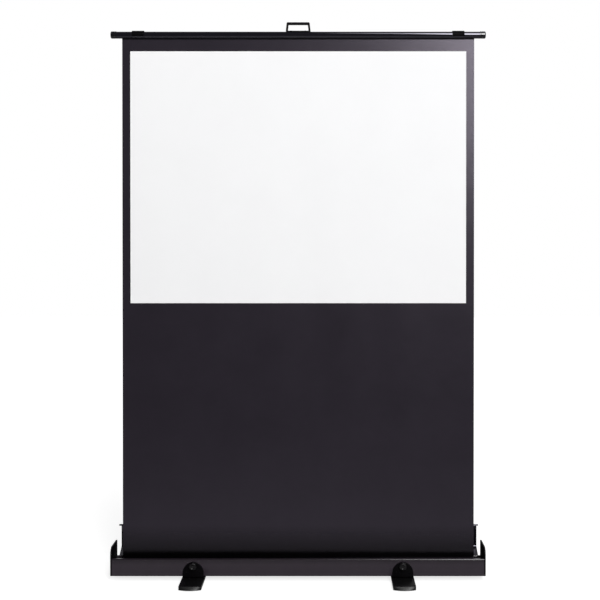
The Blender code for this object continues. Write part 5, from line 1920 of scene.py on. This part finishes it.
    def build_knob(self, side: Side, x: float) -> None:
        """A fluted knob with a dished face, and its steel stud.

        Args:
            side: The side that it stands on.
            x: Its middle.
        """
        at = (x, CASE_FRONT_Y - 2 * SEAT - self.saddle[0], KNOB_Z)
        profile = [(radius, self.knob_deep + back) for radius, back in self.knob_face]
        profile += self.knob_back
        big, (count, depth, start) = self.knob_back[0][0], self.flutes

        def fluted(radius: float, angle: float) -> float:
            """The radius at an angle, with flutes that fade towards the middle."""
            share = max(0.0, (radius - start) / (big - start))
            return radius - depth * share * (0.5 - 0.5 * math.cos(count * angle)) ** 2

        knob = turned(
            f"clamp_knob_{side.value}", profile, at, Axis.FRONT,
            radius_at=fluted, facets=self.KNOB_FACETS)
        self.fit(knob, f"{side.value}_knob", Look.KNOB_PLASTIC, f"foot_knob_{side.value}")
        (radius, front, edge), end = self.stud, -(CASE_FRONT_Y + CASE_WALL - at[1])
        rod = [(0, front), (radius, front), (radius, end + edge), (radius - edge, end), (0, end)]
        stud = turned(f"knob_thread_{side.value}", rod, at, Axis.FRONT, facets=BORE_FACETS)
        self.fit(stud, f"{side.value}_knob", Look.ZINC_PLATE, f"knob_stud_{side.value}")


# Studio

@dataclass(frozen=True)
class Lamp:
    """A soft rectangular lamp."""

    name: str
    at: Place
    aim: Place  # what it points at
    size: Point  # width and height
    power: float  # in watts

    def hang(self) -> None:
        """Put the lamp in the scene."""
        data = bpy.data.lights.new(self.name, "AREA")
        data.shape = "RECTANGLE"
        data.size, data.size_y = self.size
        data.energy = self.power
        lamp = add_object(self.name, data)
        lamp.location = self.at
        way = Vector(self.aim) - Vector(self.at)
        lamp.rotation_euler = way.to_track_quat("-Z", "Y").to_euler()


@dataclass
class Studio:
    """A pale floor, a white surround, soft lamps and the camera."""

    lamps: tuple[Lamp, ...] = (
        Lamp("right_softbox", (2.9, -9.6, 5.6), (0.0, 0.0, 1.2), (3.0, 7.0), 790.0),
        Lamp("high_softbox", (1.3, -3.5, 6.1), (0.3, 0.0, 0.1), (2.0, 2.4), 60.0),
    )
    surround: float = 0.28  # strength as light
    room: float = 0.10  # strength, in reflections, of the dimmer room on the camera's side
    room_edge: Point = (0.2, 0.7)  # where in depth that room gives way to the white surround
    floor: tuple[float, int, float] = (14.0, 24, -0.0002)  # half width, cells each way and height
    # The floor's darker and lighter tone.
    tones: tuple[Colour, Colour] = ((0.54, 0.54, 0.54), (0.56, 0.56, 0.56))
    # How white the camera sees the floor, near the object and away from it.
    glow: Point = (0.76, 0.92)
    glow_reach: Point = (0.5, 3.0)  # distances between which that changes
    dim: float = 0.80  # how far the floor darkens in reflections, away from the object
    dim_reach: Point = (0.8, 2.8)  # distances between which that changes
    eye: Place = (0.100, -4.122, 1.2218)  # where the camera stands
    pitch: float = 0.5  # degrees by which it looks down
    sensor: float = 36.0  # width in millimetres
    lens: float = 68.22  # in millimetres
    shift: Point = (-0.0431, -0.0821)  # across and up
    clip: Point = (0.05, 100.0)  # nearest and farthest distance

    def build(self) -> None:
        """Build the floor, the world, the lamps and the camera."""
        self.build_floor()
        self.build_world()
        for lamp in self.lamps:
            lamp.hang()
        data = bpy.data.cameras.new("photo_camera")
        data.sensor_width = self.sensor
        data.lens = self.lens
        data.shift_x, data.shift_y = self.shift
        data.clip_start, data.clip_end = self.clip
        camera = add_object("photo_camera", data)
        camera.location = self.eye
        camera.rotation_euler = (math.radians(90 - self.pitch), 0, 0)
        bpy.context.scene.camera = camera

    def build_floor(self) -> None:
        """A wide pale floor with a faint cloudy tone, which keeps the object's shadow."""
        mesh = bpy.data.meshes.new("studio_floor")
        half, cells, height = self.floor
        row = cells + 1
        spots = [(half * (2 * i / cells - 1), half * (2 * j / cells - 1), height)
                 for j in range(row) for i in range(row)]
        firsts = [j * row + i for j in range(cells) for i in range(cells)]
        faces = [(k, k + 1, k + row + 1, k + row) for k in firsts]
        mesh.from_pydata(spots, [], faces)
        floor = add_object("studio_floor", mesh)
        bench = ShaderBench("pale_floor")
        path = bench.node("ShaderNodeLightPath").outputs
        seen = bench.math("MAXIMUM", path["Is Camera Ray"], path["Is Transmission Ray"])
        away = bench.node("ShaderNodeVectorMath", {0: bench.place}, operation="LENGTH")
        away = away.outputs["Value"]
        dark = bench.span(away, self.dim_reach, (0.0, self.dim))
        dark = bench.math("MULTIPLY", path["Is Glossy Ray"], dark)
        glow = bench.span(away, self.glow_reach, self.glow)
        tone = bench.blend(bench.noise(scale=1.5, detail=3.0), *self.tones)
        mesh.materials.append(bench.finish({
            "Base Color": bench.blend(dark, tone, BLACK),
            "Roughness": 0.9,
            "Specular IOR Level": 0.0,
            "Emission Color": (*WHITE, 1.0),
            "Emission Strength": bench.math("MULTIPLY", seen, glow),
        }))

    def build_world(self) -> None:
        """A white surround, softer as light than as a backdrop."""
        world = bpy.data.worlds.new("white_surround")
        bpy.context.scene.world = world
        world.use_nodes = True
        world.node_tree.nodes.clear()
        bench = Bench(world.node_tree)
        path = bench.node("ShaderNodeLightPath").outputs
        seen = bench.node("ShaderNodeMath", {
            0: path["Is Camera Ray"], 1: path["Is Transmission Ray"]}, operation="MAXIMUM")
        ways = bench.node("ShaderNodeTexCoord").outputs["Generated"]
        deep = bench.node("ShaderNodeSeparateXYZ", {0: ways}).outputs["Y"]
        room = bench.node("ShaderNodeMapRange", {
            "Value": deep, "From Min": self.room_edge[0], "From Max": self.room_edge[1],
            "To Min": self.room, "To Max": 1.0})

        def backdrop(strength: object) -> Socket:
            """A white background of one strength."""
            feeds = {"Color": (*WHITE, 1.0), "Strength": strength}
            return bench.node("ShaderNodeBackground", feeds).outputs[0]

        mixed = backdrop(self.surround)
        lights = ((path["Is Glossy Ray"], room.outputs["Result"]), (seen.outputs[0], 1.0))
        for share, strength in lights:
            feeds = {0: share, 1: mixed, 2: backdrop(strength)}
            mixed = bench.node("ShaderNodeMixShader", feeds).outputs[0]
        bench.node("ShaderNodeOutputWorld", {0: mixed})


def corners(box: tuple[Vector, Vector]) -> list[list[float]]:
    """A box's two corners as plain lists."""
    return [[round(c, 6) for c in corner] for corner in box]


def main() -> None:
    """Build every sub-assembly and the studio."""
    logging.basicConfig(level=logging.INFO, format="%(name)s: %(message)s")
    bpy.context.scene.view_settings.view_transform = "Standard"
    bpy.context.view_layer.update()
    finishes = Finishes()
    tools = (finishes, Fasteners(finishes), Ribs(finishes))
    for kind in (Fabric, TopBar, Case, Feet, Arms, Roller):
        kind(*tools).build()
    Studio().build()


if __name__ == "__main__":
    main()
